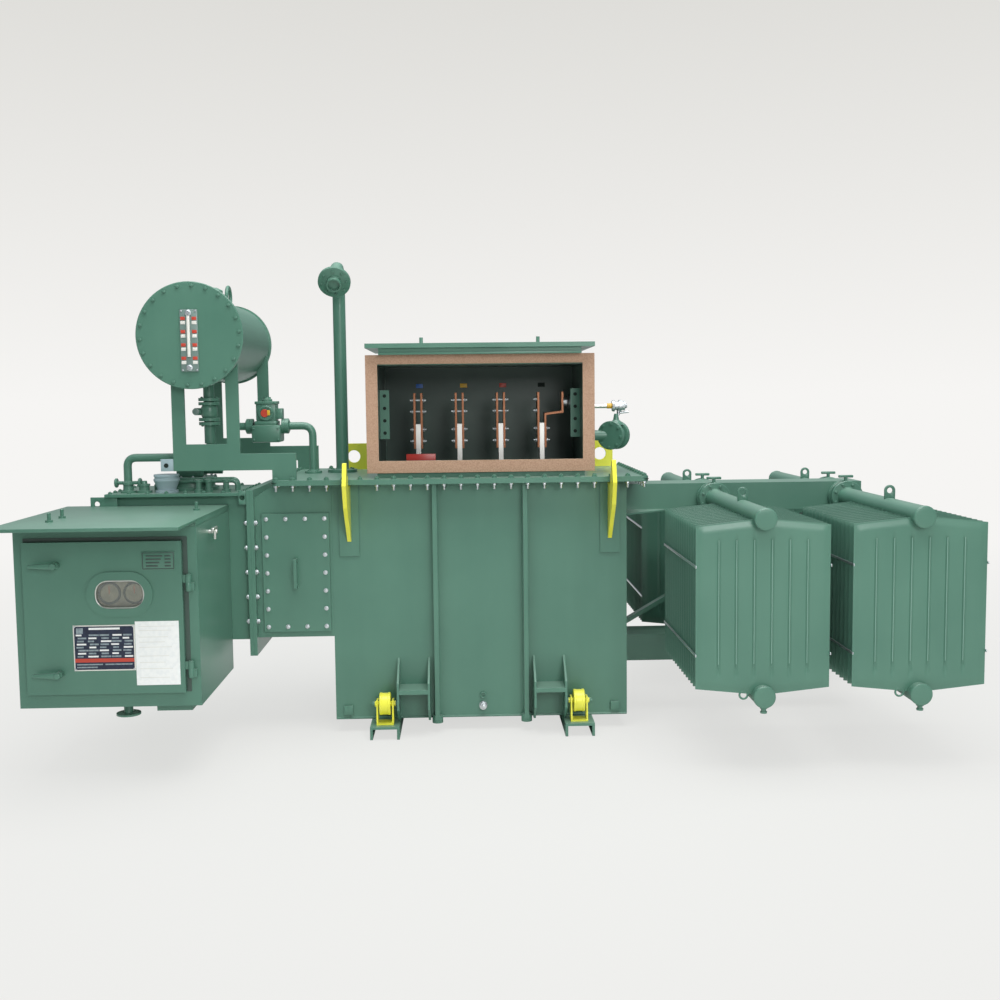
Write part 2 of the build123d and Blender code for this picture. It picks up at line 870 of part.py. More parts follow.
def make_cabinet():
    rear = tank_front
    body = block((cabinet_left, cabinet_right), (cabinet_front, rear), (cabinet_bottom, cabinet_top))
    body = body - block(
        (cabinet_left + cabinet_wall, cabinet_right - cabinet_wall),
        (cabinet_front + cabinet_wall, rear - cabinet_wall),
        (cabinet_bottom + cabinet_wall, cabinet_top - cabinet_wall),
    )
    opening = block(
        (door_left + door_lap, door_right - door_lap),
        (cabinet_front - 1, cabinet_front + cabinet_wall + 1),
        (door_bottom + door_lap, door_top - door_lap),
    )
    body = body - opening
    for z in hinge_heights:
        leaf = block(
            (hinge_x, hinge_x + hinge_leaf_width),
            (hinge_y - hinge_leaf / 2, cabinet_front),
            (z - hinge_length, z),
        )
        knuckle = rod_z(hinge_radius, hinge_x, hinge_y, (z - hinge_length, z))
        pin = rod_z(hinge_pin_radius, hinge_x, hinge_y, (z, z + hinge_length))
        body = body + leaf + knuckle + pin
    save("cabinet_body", body)
    roof_front = cabinet_front - roof_front_reach
    top = cabinet_top + roof_thickness
    roof = plate_xz(
        [
            (cabinet_left, cabinet_top),
            (cabinet_right, cabinet_top),
            (cabinet_right, top + roof_slope),
            (cabinet_left, top),
        ],
        (roof_front, rear),
    )
    lip = block(
        (cabinet_left, cabinet_right),
        (roof_front, roof_front + roof_thickness),
        (cabinet_top - roof_lip, cabinet_top),
    )
    save("cabinet_roof", roof + lip)
    door = block((door_left, door_right), (door_face, door_back), (door_bottom, door_top))
    ring = Pos(window_x, door_face - 3, window_z) * Rot(90, 0, 0) * extrude(
        SlotOverall(window_width + 2 * window_ring, window_height + 2 * window_ring), amount=3, both=True
    )
    sight = Pos(window_x, door_face, window_z) * Rot(90, 0, 0) * extrude(
        SlotOverall(window_width, window_height), amount=60, both=True
    )
    door = door + ring - sight
    for z in hinge_heights:
        span = (z + hinge_gap, z + hinge_length)
        leaf = block((door_right, hinge_x), (hinge_y - hinge_leaf / 2, hinge_y + hinge_leaf / 2), span)
        door = door + leaf + rod_z(hinge_radius, hinge_x, hinge_y, span)
        bore = hinge_pin_radius + hinge_clearance
        door = door - rod_z(bore, hinge_x, hinge_y, (z - 1, z + hinge_length + 1))
    for z in handle_heights:
        door = door - rod_y(spindle_radius + hinge_clearance, handle_x, (door_face - 30, door_back + 1), z)
    save("cabinet_door", door)
    glass = Pos(window_x, door_face + 10, window_z) * Rot(90, 0, 0) * extrude(
        SlotOverall(window_width, window_height), amount=2.5, both=True
    )
    save("door_window", glass)
    for name, z in zip(("upper", "lower"), handle_heights):
        boss_front = door_face - handle_boss_length
        spindle = rod_y(spindle_radius, handle_x, (boss_front, door_back), z)
        boss = rod_y(handle_boss_radius, handle_x, (boss_front, door_face - 1), z)
        lever = block(
            (handle_x - handle_length + handle_boss_radius, handle_x + lever_thickness / 2),
            (boss_front - lever_thickness, boss_front),
            (z - lever_height / 2, z + lever_height / 2),
        )
        save("door_handle_" + name, spindle + boss + lever)
    stub_middle = cabinet_front + cable_stub_set_back
    low = cabinet_bottom - cable_stub_length
    stub = rod_z(cable_stub_radius, cable_stub_x, stub_middle, (low, cabinet_bottom))
    stub = stub + rod_z(cable_disc_radius, cable_stub_x, stub_middle, (low, low + cable_disc_thickness))
    glands = block(
        gland_plate_x,
        (cabinet_front + gland_plate_y[0], cabinet_front + gland_plate_y[1]),
        (cabinet_bottom - gland_plate_depth, cabinet_bottom),
    )
    save("cabinet_glands", stub, glands)


def make_headers():
    reach = (-header_half_depth, header_half_depth)
    save("top_header", block((tank_right, header_right), reach, top_header))
    save("bottom_header", block((tank_right, header_right), reach, bottom_header))
    gusset = plate_xy(
        [
            (tank_right, -header_half_depth),
            (tank_right, -header_half_depth - gusset_depth),
            (tank_right + gusset_width, -header_half_depth),
        ],
        (top_header[0], top_header[0] + gusset_thickness),
    )
    strut_foot = bottom_header[1] + strut_lift
    strut = plate_xz(
        [
            (tank_right, strut_foot),
            (tank_right, strut_foot + strut_depth),
            (strut_end - 2 * strut_depth, top_header[0]),
            (strut_end, top_header[0]),
        ],
        (-strut_width / 2, strut_width / 2),
    )
    save("header_braces", gusset, mirrored(gusset), strut)


def make_radiator(x):
    """One front radiator: a stack of panels on two pipes, the outermost one fluted."""
    half = radiator_width / 2
    shoulder = pipe_radius + pipe_shoulder
    outline = [
        (x - half, panel_bottom),
        (x - shoulder, panel_bottom - panel_peak),
        (x + shoulder, panel_bottom - panel_peak),
        (x + half, panel_bottom),
        (x + half, panel_top),
        (x + shoulder, panel_top + panel_peak),
        (x - shoulder, panel_top + panel_peak),
        (x - half, panel_top),
    ]
    stack = None
    for index in range(panel_count):
        middle = -(first_panel + index * panel_pitch)
        panel = plate_xz(outline, (middle - panel_thickness / 2, middle + panel_thickness / 2))
        stack = panel if stack is None else stack + panel
    face = -(last_panel + panel_thickness / 2)
    pitch = (radiator_width - 2 * panel_rim) / flute_count
    for index in range(flute_count):
        middle = x + (index - (flute_count - 1) / 2) * pitch
        seat = Plane(origin=(middle, face, (panel_bottom + panel_top) / 2), x_dir=(1, 0, 0), z_dir=(0, -1, 0))
        base = seat * Rectangle(pitch * flute_foot, flute_length)
        crown = seat * Pos(0, 0, flute_height) * Rectangle(pitch * flute_crown, flute_length - 2 * flute_end)
        stack = stack + loft([base, crown])
    back = -(first_panel - panel_thickness / 2)
    for height in pipe_heights:
        start = Plane(origin=(x, back, height), x_dir=(1, 0, 0), z_dir=(0, -1, 0))
        run = extrude(start * RegularPolygon(pipe_radius, pipe_sides), amount=back + last_panel)
        cap = rod_y(pipe_radius, x, (-pipe_front, -last_panel), height)
        stack = stack + run + cap
    return stack


def make_radiators():
    valves = []
    necks = []
    for name, x in (("inner", radiator_x[0]), ("outer", radiator_x[1])):
        front = make_radiator(x)
        save("radiator_front_" + name, front)
        save("radiator_rear_" + name, mirrored(front))
        start = -header_half_depth
        end = start - valve_length
        for height in pipe_heights:
            valve = rod_y(valve_radius, x, (end, start), height)
            valves.extend([valve, mirrored(valve)])
            neck = rod_y(pipe_radius, x, (-(first_panel - panel_thickness / 2), end), height)
            necks.extend([neck, mirrored(neck)])
    save("radiator_valves", *valves)
    save("radiator_necks", *necks)


make_tank()
make_stiffeners()
make_skids()
make_rollers()
make_pockets()
make_drain()
make_hooks()
make_lv_box()
make_side_fittings()
make_hv_box()
make_vent()
make_conservator()
make_relay()
make_throat()
make_cabinet()
make_headers()
make_radiators()
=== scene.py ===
import json
import math

import bpy
from mathutils import Euler, Matrix, Quaternion, Vector


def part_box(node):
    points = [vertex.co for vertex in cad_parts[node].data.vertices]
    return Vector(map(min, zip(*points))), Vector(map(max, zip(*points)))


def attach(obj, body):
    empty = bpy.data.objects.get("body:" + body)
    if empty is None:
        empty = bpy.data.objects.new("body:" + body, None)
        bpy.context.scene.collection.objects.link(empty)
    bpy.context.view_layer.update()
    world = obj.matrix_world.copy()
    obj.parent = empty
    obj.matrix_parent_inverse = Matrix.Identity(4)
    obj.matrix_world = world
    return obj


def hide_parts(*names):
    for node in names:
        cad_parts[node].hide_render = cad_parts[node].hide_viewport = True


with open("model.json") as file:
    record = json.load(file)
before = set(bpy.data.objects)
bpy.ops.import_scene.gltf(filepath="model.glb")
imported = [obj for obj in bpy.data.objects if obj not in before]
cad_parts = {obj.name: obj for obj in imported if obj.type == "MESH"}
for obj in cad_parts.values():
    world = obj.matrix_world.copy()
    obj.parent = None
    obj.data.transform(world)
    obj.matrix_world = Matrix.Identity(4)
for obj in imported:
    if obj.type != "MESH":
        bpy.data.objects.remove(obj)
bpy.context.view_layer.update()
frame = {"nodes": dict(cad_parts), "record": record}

# Oil-filled power transformer. Places are written in millimetres from the middle of the
# main tank, with the ground at Z 0, and the skids give where that middle lies in the frame.
skid_low, skid_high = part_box("base_skids")
TANK_MIDDLE = Vector(((skid_low[0] + skid_high[0]) / 2, (skid_low[1] + skid_high[1]) / 2, 0))
MM = 0.001

COVER_TOP = 1143
RIM_BOTTOM = 1120
TANK_FRONT = -355
DOOR_FACE = -1020
RADIATOR_MIDDLES = (1095, 1715)
PIPE_HEIGHTS = (314, 1014)
FIRST_PANEL = 352
PANEL_PITCH = 50
PANEL_COUNT = 15
PIPE_FRONT = 1095.5
CONSERVATOR = (-1228, -480, 1771)
ROLLER_X = 430
ROLLER_Y = 435
AXLE_HEIGHT = 146

# Paint names and the record's slot that each one belongs to
SLOT_PAINTS = {
    "green_paint": "green_enamel",
    "dark_green_paint": "green_enamel",
    "yellow_paint": "yellow_enamel",
    "cork_gasket": "cork_rubber",
    "copper_bar": "rolled_copper",
    "tinned_copper": "tinned_copper",
    "zinc_steel": "zinc_plate",
    "gauge_white": "white_enamel",
    "window_glass": "sight_glass",
}
paints = {}


def linear(hex_colour, alpha=1.0):
    """Linear colour of an sRGB hex value."""
    shares = [int(hex_colour[i : i + 2], 16) / 255 for i in (1, 3, 5)]
    return tuple(c / 12.92 if c <= 0.04045 else ((c + 0.055) / 1.055) ** 2.4 for c in shares) + (alpha,)


def add_node(tree, kind, settings=None, inputs=None):
    """One node with its settings and its inputs, each a value or another node's socket."""
    node = tree.nodes.new(kind)
    for key, value in (settings or {}).items():
        setattr(node, key, value)
    for key, value in (inputs or {}).items():
        if isinstance(value, bpy.types.NodeSocket):
            tree.links.new(value, node.inputs[key])
        else:
            node.inputs[key].default_value = value
    return node


def new_material(name):
    material = bpy.data.materials.new(name)
    material.use_nodes = True
    material.node_tree.nodes.clear()
    paints[name] = material
    return material.node_tree


def finish_material(tree, shader):
    add_node(tree, "ShaderNodeOutputMaterial", inputs={"Surface": shader.outputs[0]})


def enamel(name, colour, worn, top_light_and_dust_share=0.16, roughness=(0.24, 0.38)):
    """Alkyd enamel sprayed on steel plate: semi-gloss, slightly blotched, with orange peel.

    The peel of a sprayed coat is about 3 mm from crest to crest, and what faces upwards is
    mixed towards a pale grey-green, partly dust and partly painted light from above.
    """
    tree = new_material(name)
    where = add_node(tree, "ShaderNodeTexCoord").outputs["Object"]
    blotch = add_node(tree, "ShaderNodeTexNoise", inputs={"Vector": where, "Scale": 3.0, "Detail": 4.0})
    runs = add_node(tree, "ShaderNodeMapping", inputs={"Vector": where, "Scale": (14, 14, 1.6)})
    streak = add_node(
        tree, "ShaderNodeTexNoise", inputs={"Vector": runs.outputs[0], "Scale": 1.0, "Detail": 3.0}
    )
    mixed = add_node(
        tree,
        "ShaderNodeMath",
        {"operation": "MULTIPLY_ADD"},
        {0: streak.outputs[0], 1: 0.4, 2: blotch.outputs[0]},
    )
    share = add_node(
        tree, "ShaderNodeMapRange", inputs={"Value": mixed.outputs[0], "From Min": 0.45, "From Max": 0.95}
    )
    base = add_node(
        tree,
        "ShaderNodeMix",
        {"data_type": "RGBA"},
        {"Factor": share.outputs[0], "A": linear(colour), "B": linear(worn)},
    )
    facing = add_node(tree, "ShaderNodeNewGeometry").outputs["Normal"]
    upward = add_node(tree, "ShaderNodeSeparateXYZ", inputs={"Vector": facing}).outputs["Z"]
    # Upward faces mixed towards pale grey-green: partly dust, partly painted light from above.
    top_light_and_dust = add_node(
        tree,
        "ShaderNodeMapRange",
        inputs={"Value": upward, "From Min": 0.6, "From Max": 1.0, "To Max": top_light_and_dust_share},
    )
    with_top_light_and_dust = add_node(
        tree,
        "ShaderNodeMix",
        {"data_type": "RGBA"},
        {"Factor": top_light_and_dust.outputs[0], "A": base.outputs["Result"], "B": linear("#b9c4b8")},
    )
    sheen = add_node(
        tree,
        "ShaderNodeMapRange",
        inputs={"Value": blotch.outputs[0], "To Min": roughness[0], "To Max": roughness[1]},
    )
    peel = add_node(tree, "ShaderNodeTexNoise", inputs={"Vector": where, "Scale": 330.0, "Detail": 2.0})
    bump = add_node(
        tree,
        "ShaderNodeBump",
        inputs={"Height": peel.outputs[0], "Strength": 0.10, "Distance": 0.0006},
    )
    shader = add_node(
        tree,
        "ShaderNodeBsdfPrincipled",
        inputs={
            "Base Color": with_top_light_and_dust.outputs["Result"],
            "Roughness": sheen.outputs[0],
            "Normal": bump.outputs[0],
            "IOR": 1.5,
        },
    )
    finish_material(tree, shader)


def plated(name, colour, shade, roughness, grain=(60, 60, 4)):
    """Bare or plated metal: fine drawing lines, coarse enough to show, and patchy brightness."""
    tree = new_material(name)
    where = add_node(tree, "ShaderNodeTexCoord").outputs["Object"]
    lines = add_node(tree, "ShaderNodeMapping", inputs={"Vector": where, "Scale": grain})
    drawn = add_node(
        tree, "ShaderNodeTexNoise", inputs={"Vector": lines.outputs[0], "Scale": 6.0, "Detail": 4.0}
    )
    base = add_node(
        tree,
        "ShaderNodeMix",
        {"data_type": "RGBA"},
        {"Factor": drawn.outputs[0], "A": linear(colour), "B": linear(shade)},
    )
    rough = add_node(
        tree,
        "ShaderNodeMapRange",
        inputs={"Value": drawn.outputs[0], "To Min": roughness - 0.08, "To Max": roughness + 0.12},
    )
    shader = add_node(
        tree,
        "ShaderNodeBsdfPrincipled",
        inputs={"Base Color": base.outputs["Result"], "Roughness": rough.outputs[0], "Metallic": 1.0},
    )
    finish_material(tree, shader)


def flecked(name, colour, fleck, scale, roughness, bump_depth):
    """A plain matte stuff with small flecks: bonded cork, card, print or moulded plastic."""
    tree = new_material(name)
    where = add_node(tree, "ShaderNodeTexCoord").outputs["Object"]
    grains = add_node(tree, "ShaderNodeTexNoise", inputs={"Vector": where, "Scale": scale, "Detail": 5.0})
    share = add_node(
        tree,
        "ShaderNodeMapRange",
        inputs={"Value": grains.outputs[0], "From Min": 0.42, "From Max": 0.62},
    )
    base = add_node(
        tree,
        "ShaderNodeMix",
        {"data_type": "RGBA"},
        {"Factor": share.outputs[0], "A": linear(colour), "B": linear(fleck)},
    )
    bump = add_node(
        tree,
        "ShaderNodeBump",
        inputs={"Height": grains.outputs[0], "Strength": 0.3, "Distance": bump_depth},
    )
    shader = add_node(
        tree,
        "ShaderNodeBsdfPrincipled",
        inputs={
            "Base Color": base.outputs["Result"],
            "Roughness": roughness,
            "Normal": bump.outputs[0],
        },
    )
    finish_material(tree, shader)


def glass(name):
    """Float glass over a sight: clear, faintly green, with the odd smear in its polish."""
    tree = new_material(name)
    where = add_node(tree, "ShaderNodeTexCoord").outputs["Object"]
    smear = add_node(tree, "ShaderNodeTexNoise", inputs={"Vector": where, "Scale": 22.0})
    rough = add_node(
        tree, "ShaderNodeMapRange", inputs={"Value": smear.outputs[0], "To Min": 0.02, "To Max": 0.12}
    )
    shader = add_node(
        tree,
        "ShaderNodeBsdfPrincipled",
        inputs={
            "Base Color": linear("#eef2ec"),
            "Roughness": rough.outputs[0],
            "IOR": 1.45,
            "Transmission Weight": 0.9,
        },
    )
    finish_material(tree, shader)


def make_paints():
    """Every finish: sprayed enamels, bare and plated metals, and the flecked and clear stuffs."""
    enamel("green_enamel", "#4f7a69", "#588371")
    # Lighter green for the thin lines along the radiator seams: a painted highlight.
    enamel("seam_highlight_enamel", "#7da394", "#8bae9f", top_light_and_dust_share=0.0)
    enamel("grey_enamel", "#6f847e", "#788c86", top_light_and_dust_share=0.0)
    enamel("pale_casting_enamel", "#9db2ba", "#a9bcc2", top_light_and_dust_share=0.2)
    enamel("dark_red_enamel", "#982419", "#861e15", top_light_and_dust_share=0.0)
    # A darker copy of the green enamel: painted shade.
    enamel("shade_green_enamel", "#3f5049", "#465850", top_light_and_dust_share=0.1)
    enamel("yellow_enamel", "#eee93a", "#f2ee58", top_light_and_dust_share=0.05, roughness=(0.24, 0.36))
    enamel("white_enamel", "#eceae4", "#e2e0d8", top_light_and_dust_share=0.0)
    enamel("red_enamel", "#cf4a38", "#c04332", top_light_and_dust_share=0.0)
    enamel("blue_enamel", "#3f74c9", "#386abb", top_light_and_dust_share=0.0)
    enamel("amber_enamel", "#eebb36", "#e2ae30", top_light_and_dust_share=0.0)
    plated("rolled_copper", "#a6745a", "#855a42", 0.36)
    plated("tinned_copper", "#f0eee9", "#d6d4cf", 0.36)
    plated("zinc_plate", "#dfe2e4", "#bfc4c8", 0.36, grain=(40, 40, 40))
    flecked("cork_rubber", "#bd9a82", "#ab876f", 260.0, 0.85, 0.0008)
    flecked("paper", "#f9f9f7", "#f2f3f2", 60.0, 0.8, 0.0001)
    flecked("print_grey", "#98a5aa", "#7f8d94", 90.0, 0.8, 0.0001)
    flecked("navy_print", "#232c44", "#1b2338", 80.0, 0.5, 0.0001)
    flecked("beige_bakelite", "#a09680", "#857c68", 30.0, 0.5, 0.0002)
    # Near-black: the colour of black parts, and painted shade in holes and gaps.
    flecked("black_and_painted_shade", "#1d2a24", "#15201b", 30.0, 0.9, 0.0001)
    glass("sight_glass")


def metres(point):
    return TANK_MIDDLE + Vector(point) * MM


def square_to(way):
    """Turn that takes the Z axis to a direction."""
    return Vector((0, 0, 1)).rotation_difference(Vector(way)).to_matrix().to_4x4()


def deselect():
    if bpy.context.object and bpy.context.object.mode != "OBJECT":
        bpy.ops.object.mode_set(mode="OBJECT")
    bpy.ops.object.select_all(action="DESELECT")


def pick(*pieces):
    deselect()
    for piece in pieces:
        piece.select_set(True)
    bpy.context.view_layer.objects.active = pieces[0]


def apply_place(piece):
    pick(piece)
    bpy.ops.object.transform_apply(location=True, rotation=True, scale=True)


def apply_modifier(piece, kind, **settings):
    modifier = piece.modifiers.new(kind.lower(), kind)
    for key, value in settings.items():
        setattr(modifier, key, value)
    pick(piece)
    bpy.ops.object.modifier_apply(modifier=modifier.name)


def cut(piece, tool):
    """Take the tool's shape out of the piece."""
    apply_modifier(piece, "BOOLEAN", operation="DIFFERENCE", object=tool)
    bpy.data.objects.remove(tool)


def round_edges(piece, width):
    if width:
        apply_modifier(
            piece, "BEVEL", width=width * MM, segments=2, limit_method="ANGLE", angle_limit=math.radians(35)
        )


def joined(*pieces):
    pick(*pieces)
    if len(pieces) > 1:
        bpy.ops.object.join()
    return pieces[0]


def finished(piece, name, paint, body="transformer", replaced=()):
    """Shade, name, paint and fix a piece to its body."""
    pick(piece)
    bpy.ops.object.shade_smooth_by_angle(angle=math.radians(32))
    piece.name = name
    piece.data.name = name
    piece.data.materials.clear()
    piece.data.materials.append(paints[paint])
    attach(piece, body)
    if replaced:
        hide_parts(*replaced)
    return piece


def block(x, y, z, edge=1.5):
    """Block between its ranges along X, Y and Z, with rounded edges."""
    deselect()
    low = metres((x[0], y[0], z[0]))
    high = metres((x[1], y[1], z[1]))
    bpy.ops.mesh.primitive_cube_add(size=1, location=(low + high) / 2)
    piece = bpy.context.object
    piece.scale = high - low
    apply_place(piece)
    round_edges(piece, edge)
    return piece


def turned(start, way, stations, sides=36):
    """Round piece drawn out of a disc: stations are (distance along way, radius)."""
    deselect()
    along, radius = stations[0]
    bpy.ops.mesh.primitive_circle_add(vertices=sides, radius=radius * MM, fill_type="NGON")
    piece = bpy.context.object
    bpy.ops.object.mode_set(mode="EDIT")
    for further, wider in stations[1:]:
        bpy.ops.mesh.extrude_region_move(TRANSFORM_OT_translate={"value": (0, 0, (further - along) * MM)})
        bpy.ops.transform.resize(value=(wider / radius, wider / radius, 1), center_override=(0, 0, 0))
        along, radius = further, wider
    bpy.ops.mesh.select_all(action="SELECT")
    bpy.ops.mesh.normals_make_consistent(inside=False)
    bpy.ops.object.mode_set(mode="OBJECT")
    lift = Matrix.Translation((0, 0, stations[0][0] * MM))
    piece.matrix_world = Matrix.Translation(metres(start)) @ square_to(way) @ lift
    apply_place(piece)
    return piece


def rod(start, end, radius, edge=1.0, sides=32):
    """Round bar with its two rims eased."""
    way = Vector(end) - Vector(start)
    length = way.length
    stations = [(0, radius - edge), (edge, radius), (length - edge, radius), (length, radius - edge)]
    return turned(start, way, stations, sides)


def pipe(points, radius, bend):
    """Steel pipe through corner points, bent at each inner one."""
    corners = [Vector(p) for p in points]
    route = [corners[0]]
    for before, corner, after in zip(corners, corners[1:], corners[2:]):
        arriving = (corner - before).normalized()
        leaving = (after - corner).normalized()
        back = bend * math.tan(arriving.angle(leaving) / 2)
        first = corner - arriving * back
        last = corner + leaving * back
        for step in range(9):
            t = step / 8
            route.append(first * (1 - t) ** 2 + corner * 2 * t * (1 - t) + last * t**2)
    route.append(corners[-1])
    curve = bpy.data.curves.new("pipe", "CURVE")
    curve.dimensions = "3D"
    curve.bevel_depth = radius * MM
    curve.bevel_resolution = 6
    curve.use_fill_caps = True
    line = curve.splines.new("POLY")
    line.points.add(len(route) - 1)
    for point, place in zip(line.points, route):
        point.co = (*metres(place), 1)
    piece = bpy.data.objects.new("pipe", curve)
    bpy.context.scene.collection.objects.link(piece)
    pick(piece)
    bpy.ops.object.convert(target="MESH")
    return bpy.context.object


def ring(middle, way, radius, thickness):
    """Round bar bent to a ring, lying square to way."""
    deselect()
    bpy.ops.mesh.primitive_torus_add(
        major_radius=radius * MM, minor_radius=thickness * MM, major_segments=40, minor_segments=12
    )
    piece = bpy.context.object
    piece.matrix_world = Matrix.Translation(metres(middle)) @ square_to(way)
    apply_place(piece)
    return piece


def eye_plate(middle, width, height, thickness, hole):
    """Upright lifting eye, thin along Y: a plate with a round top and a hole bored through it."""
    x, y, z = middle
    half = width / 2
    bore_height = z + height - half
    plate = turned((x, y - thickness / 2, bore_height), (0, 1, 0), [(0, half), (thickness, half)], 24)
    for vertex in plate.data.vertices:
        if vertex.co.z < bore_height * MM - 0.001:
            vertex.co.z = z * MM
    bore = rod((x, y - thickness, bore_height), (x, y + thickness, bore_height), hole, 0.5, 20)
    cut(plate, bore)
    round_edges(plate, 1)
    return plate


def copied(piece, place):
    """Copy with a mesh of its own, moved by a matrix."""
    copy = piece.copy()
    copy.data = piece.data.copy()
    bpy.context.scene.collection.objects.link(copy)
    copy.data.transform(place)
    return copy


def mirrored_copy(piece):
    """Copy on the other side of the plane through the tank's middle, front to rear."""
    flip = Matrix.Diagonal((1, -1, 1, 1))
    copy = copied(piece, Matrix.Translation(TANK_MIDDLE) @ flip @ Matrix.Translation(-TANK_MIDDLE))
    pick(copy)
    bpy.ops.object.mode_set(mode="EDIT")
    bpy.ops.mesh.select_all(action="SELECT")
    bpy.ops.mesh.flip_normals()
    bpy.ops.object.mode_set(mode="OBJECT")
    return copy


def drum(sides, radius, depth, middle):
    """Prism about the Z axis, its middle at a height above the origin."""
    deselect()
    bpy.ops.mesh.primitive_cylinder_add(vertices=sides, radius=radius * MM, depth=depth * MM)
    piece = bpy.context.object
    piece.location.z = middle * MM
    apply_place(piece)
    return piece


def bolt(size):
    """Hexagon head on a washer, with the end of its thread, pointing up from the origin."""
    washer = drum(14, size, size * 0.2, size * 0.1)
    head = drum(6, size * 0.86, size * 0.6, size * 0.5)
    round_edges(head, size * 0.06)
    thread = drum(8, size * 0.42, size * 0.3, size * 0.92)
    return joined(head, washer, thread)


def bolts(name, groups, size, paint, body="transformer"):
    """Copies of one bolt joined to one piece; groups are (way the heads point, places)."""
    pattern = bolt(size)
    copies = []
    for way, places in groups:
        turn = square_to(way)
        for place in places:
            copies.append(copied(pattern, Matrix.Translation(metres(place)) @ turn))
    bpy.data.objects.remove(pattern)
    return finished(joined(*copies), name, paint, body)


def spread(low, high, pitch):
    """Even places from low to high, about a pitch apart."""
    count = max(1, round((high - low) / pitch))
    return [low + (high - low) * index / count for index in range(count + 1)]


def round_the_edge(x, y, pitch):
    """Places (x, y) round a rectangle, about a pitch apart."""
    places = [(px, py) for px in spread(x[0], x[1], pitch) for py in y]
    places += [(px, py) for py in spread(y[0], y[1], pitch)[1:-1] for px in x]
    return places


def on_circle(middle, way, radius, count, turn=0.0):
    """Places round a circle that lies square to way."""
    way = Vector(way).normalized()
    side = way.orthogonal().normalized()
    other = way.cross(side)
    angles = [math.tau * (index + turn) / count for index in range(count)]
    return [Vector(middle) + side * radius * math.cos(a) + other * radius * math.sin(a) for a in angles]


def paint_nodes():
    """Paint every carried-over node and ease the edges of the plates among them."""
    slot_of = {row["node"]: row["material_slot"] for row in frame["record"]["subparts"]}
    for name, node in frame["nodes"].items():
        paint = paints[SLOT_PAINTS[slot_of[name]]]
        if not node.material_slots:
            node.data.materials.append(paint)
        for place in node.material_slots:
            place.material = paint
        weld = node.modifiers.new("weld", "WELD")
        weld.merge_threshold = 0.00002
        if name == "cabinet_door":
            continue
        ease = node.modifiers.new("ease", "BEVEL")
        ease.width = 1.2 * MM
        ease.segments = 2
        ease.limit_method = "ANGLE"
        ease.angle_limit = math.radians(50)


def make_cover_bolts():
    places = round_the_edge((-888, 725), (-426, 426), 75)
    above = [(x, y, COVER_TOP) for x, y in places]
    below = [(x, y, RIM_BOTTOM) for x, y in places if not (abs(y) > 400 and abs(abs(x) - 580) < 60)]
    bolts("cover_bolts", [((0, 0, 1), above)], 13, "green_enamel")
    bolts("cover_bolt_nuts", [((0, 0, -1), below)], 12, "zinc_plate")
    ends = [rod((x, y, z), (x, y, z - 27), 5.5, 0.6, 10) for x, y, z in below]
    finished(joined(*ends), "cover_bolt_ends", "zinc_plate")
    seam = block((-906, 743), (-445, 445), (1130.2, 1131.8), 0)
    finished(seam, "cover_seal", "black_and_painted_shade")


def make_tank_details():
    beads = []
    for x in (-200, 200):
        for side in (-1, 1):
            edge = x + side * 10
            beads.append(rod((edge, TANK_FRONT, 66), (edge, TANK_FRONT, 1118), 4, 0.5, 8))
    beads.append(rod((-655, TANK_FRONT, 62), (655, TANK_FRONT, 62), 5, 0.5, 8))
    beads.append(rod((-655, TANK_FRONT, 1118), (655, TANK_FRONT, 1118), 5, 0.5, 8))
    finished(joined(*beads), "tank_weld_beads", "green_enamel")
    plug = turned(
        (5, TANK_FRONT, 112),
        (0, -1, 0),
        [(0, 18), (6, 18), (6, 14), (18, 14), (18, 17), (26, 17), (28, 14), (28, 9), (36, 9), (37, 7)],
        24,
    )
    finished(plug, "drain_plug_turned", "zinc_plate", replaced=("drain_plug",))
    eye = ring((5, TANK_FRONT - 6, 158), (0, 1, 0), 12, 3)
    finished(eye, "sample_cock_ring", "green_enamel")
    earth = []
    for x in (-600, 600):
        earth.append(block((x - 20, x + 20), (TANK_FRONT - 14, TANK_FRONT), (80, 120)))
    finished(joined(*earth), "earth_pads", "green_enamel")


def make_rollers():
    flanks = [(2, 20), (2, 34), (0, 38), (0, 46), (3, 50), (10, 50), (12, 48), (38, 48), (40, 50)]
    flanks += [(47, 50), (50, 46), (50, 38), (48, 34), (48, 20)]
    for end, y in (("front", -ROLLER_Y), ("rear", ROLLER_Y)):
        for side, x in (("left", -ROLLER_X), ("right", ROLLER_X)):
            wheel = turned((x - 25, y, AXLE_HEIGHT), (1, 0, 0), flanks, 40)
            bore = rod((x - 40, y, AXLE_HEIGHT), (x + 40, y, AXLE_HEIGHT), 12.2, 0.2, 32)
            cut(wheel, bore)
            name = "roller_%s_%s" % (end, side)
            finished(wheel, name + "_turned", "yellow_enamel", "%s_%s_roller" % (end, side), (name,))
    caps = []
    for x in (-ROLLER_X, ROLLER_X):
        for y in (-ROLLER_Y, ROLLER_Y):
            for side in (-1, 1):
                caps.append((side, (x + side * 46, y, AXLE_HEIGHT)))
    bolts(
        "axle_nuts",
        [((s, 0, 0), [p for t, p in caps if t == s]) for s in (-1, 1)],
        13,
        "green_enamel",
    )


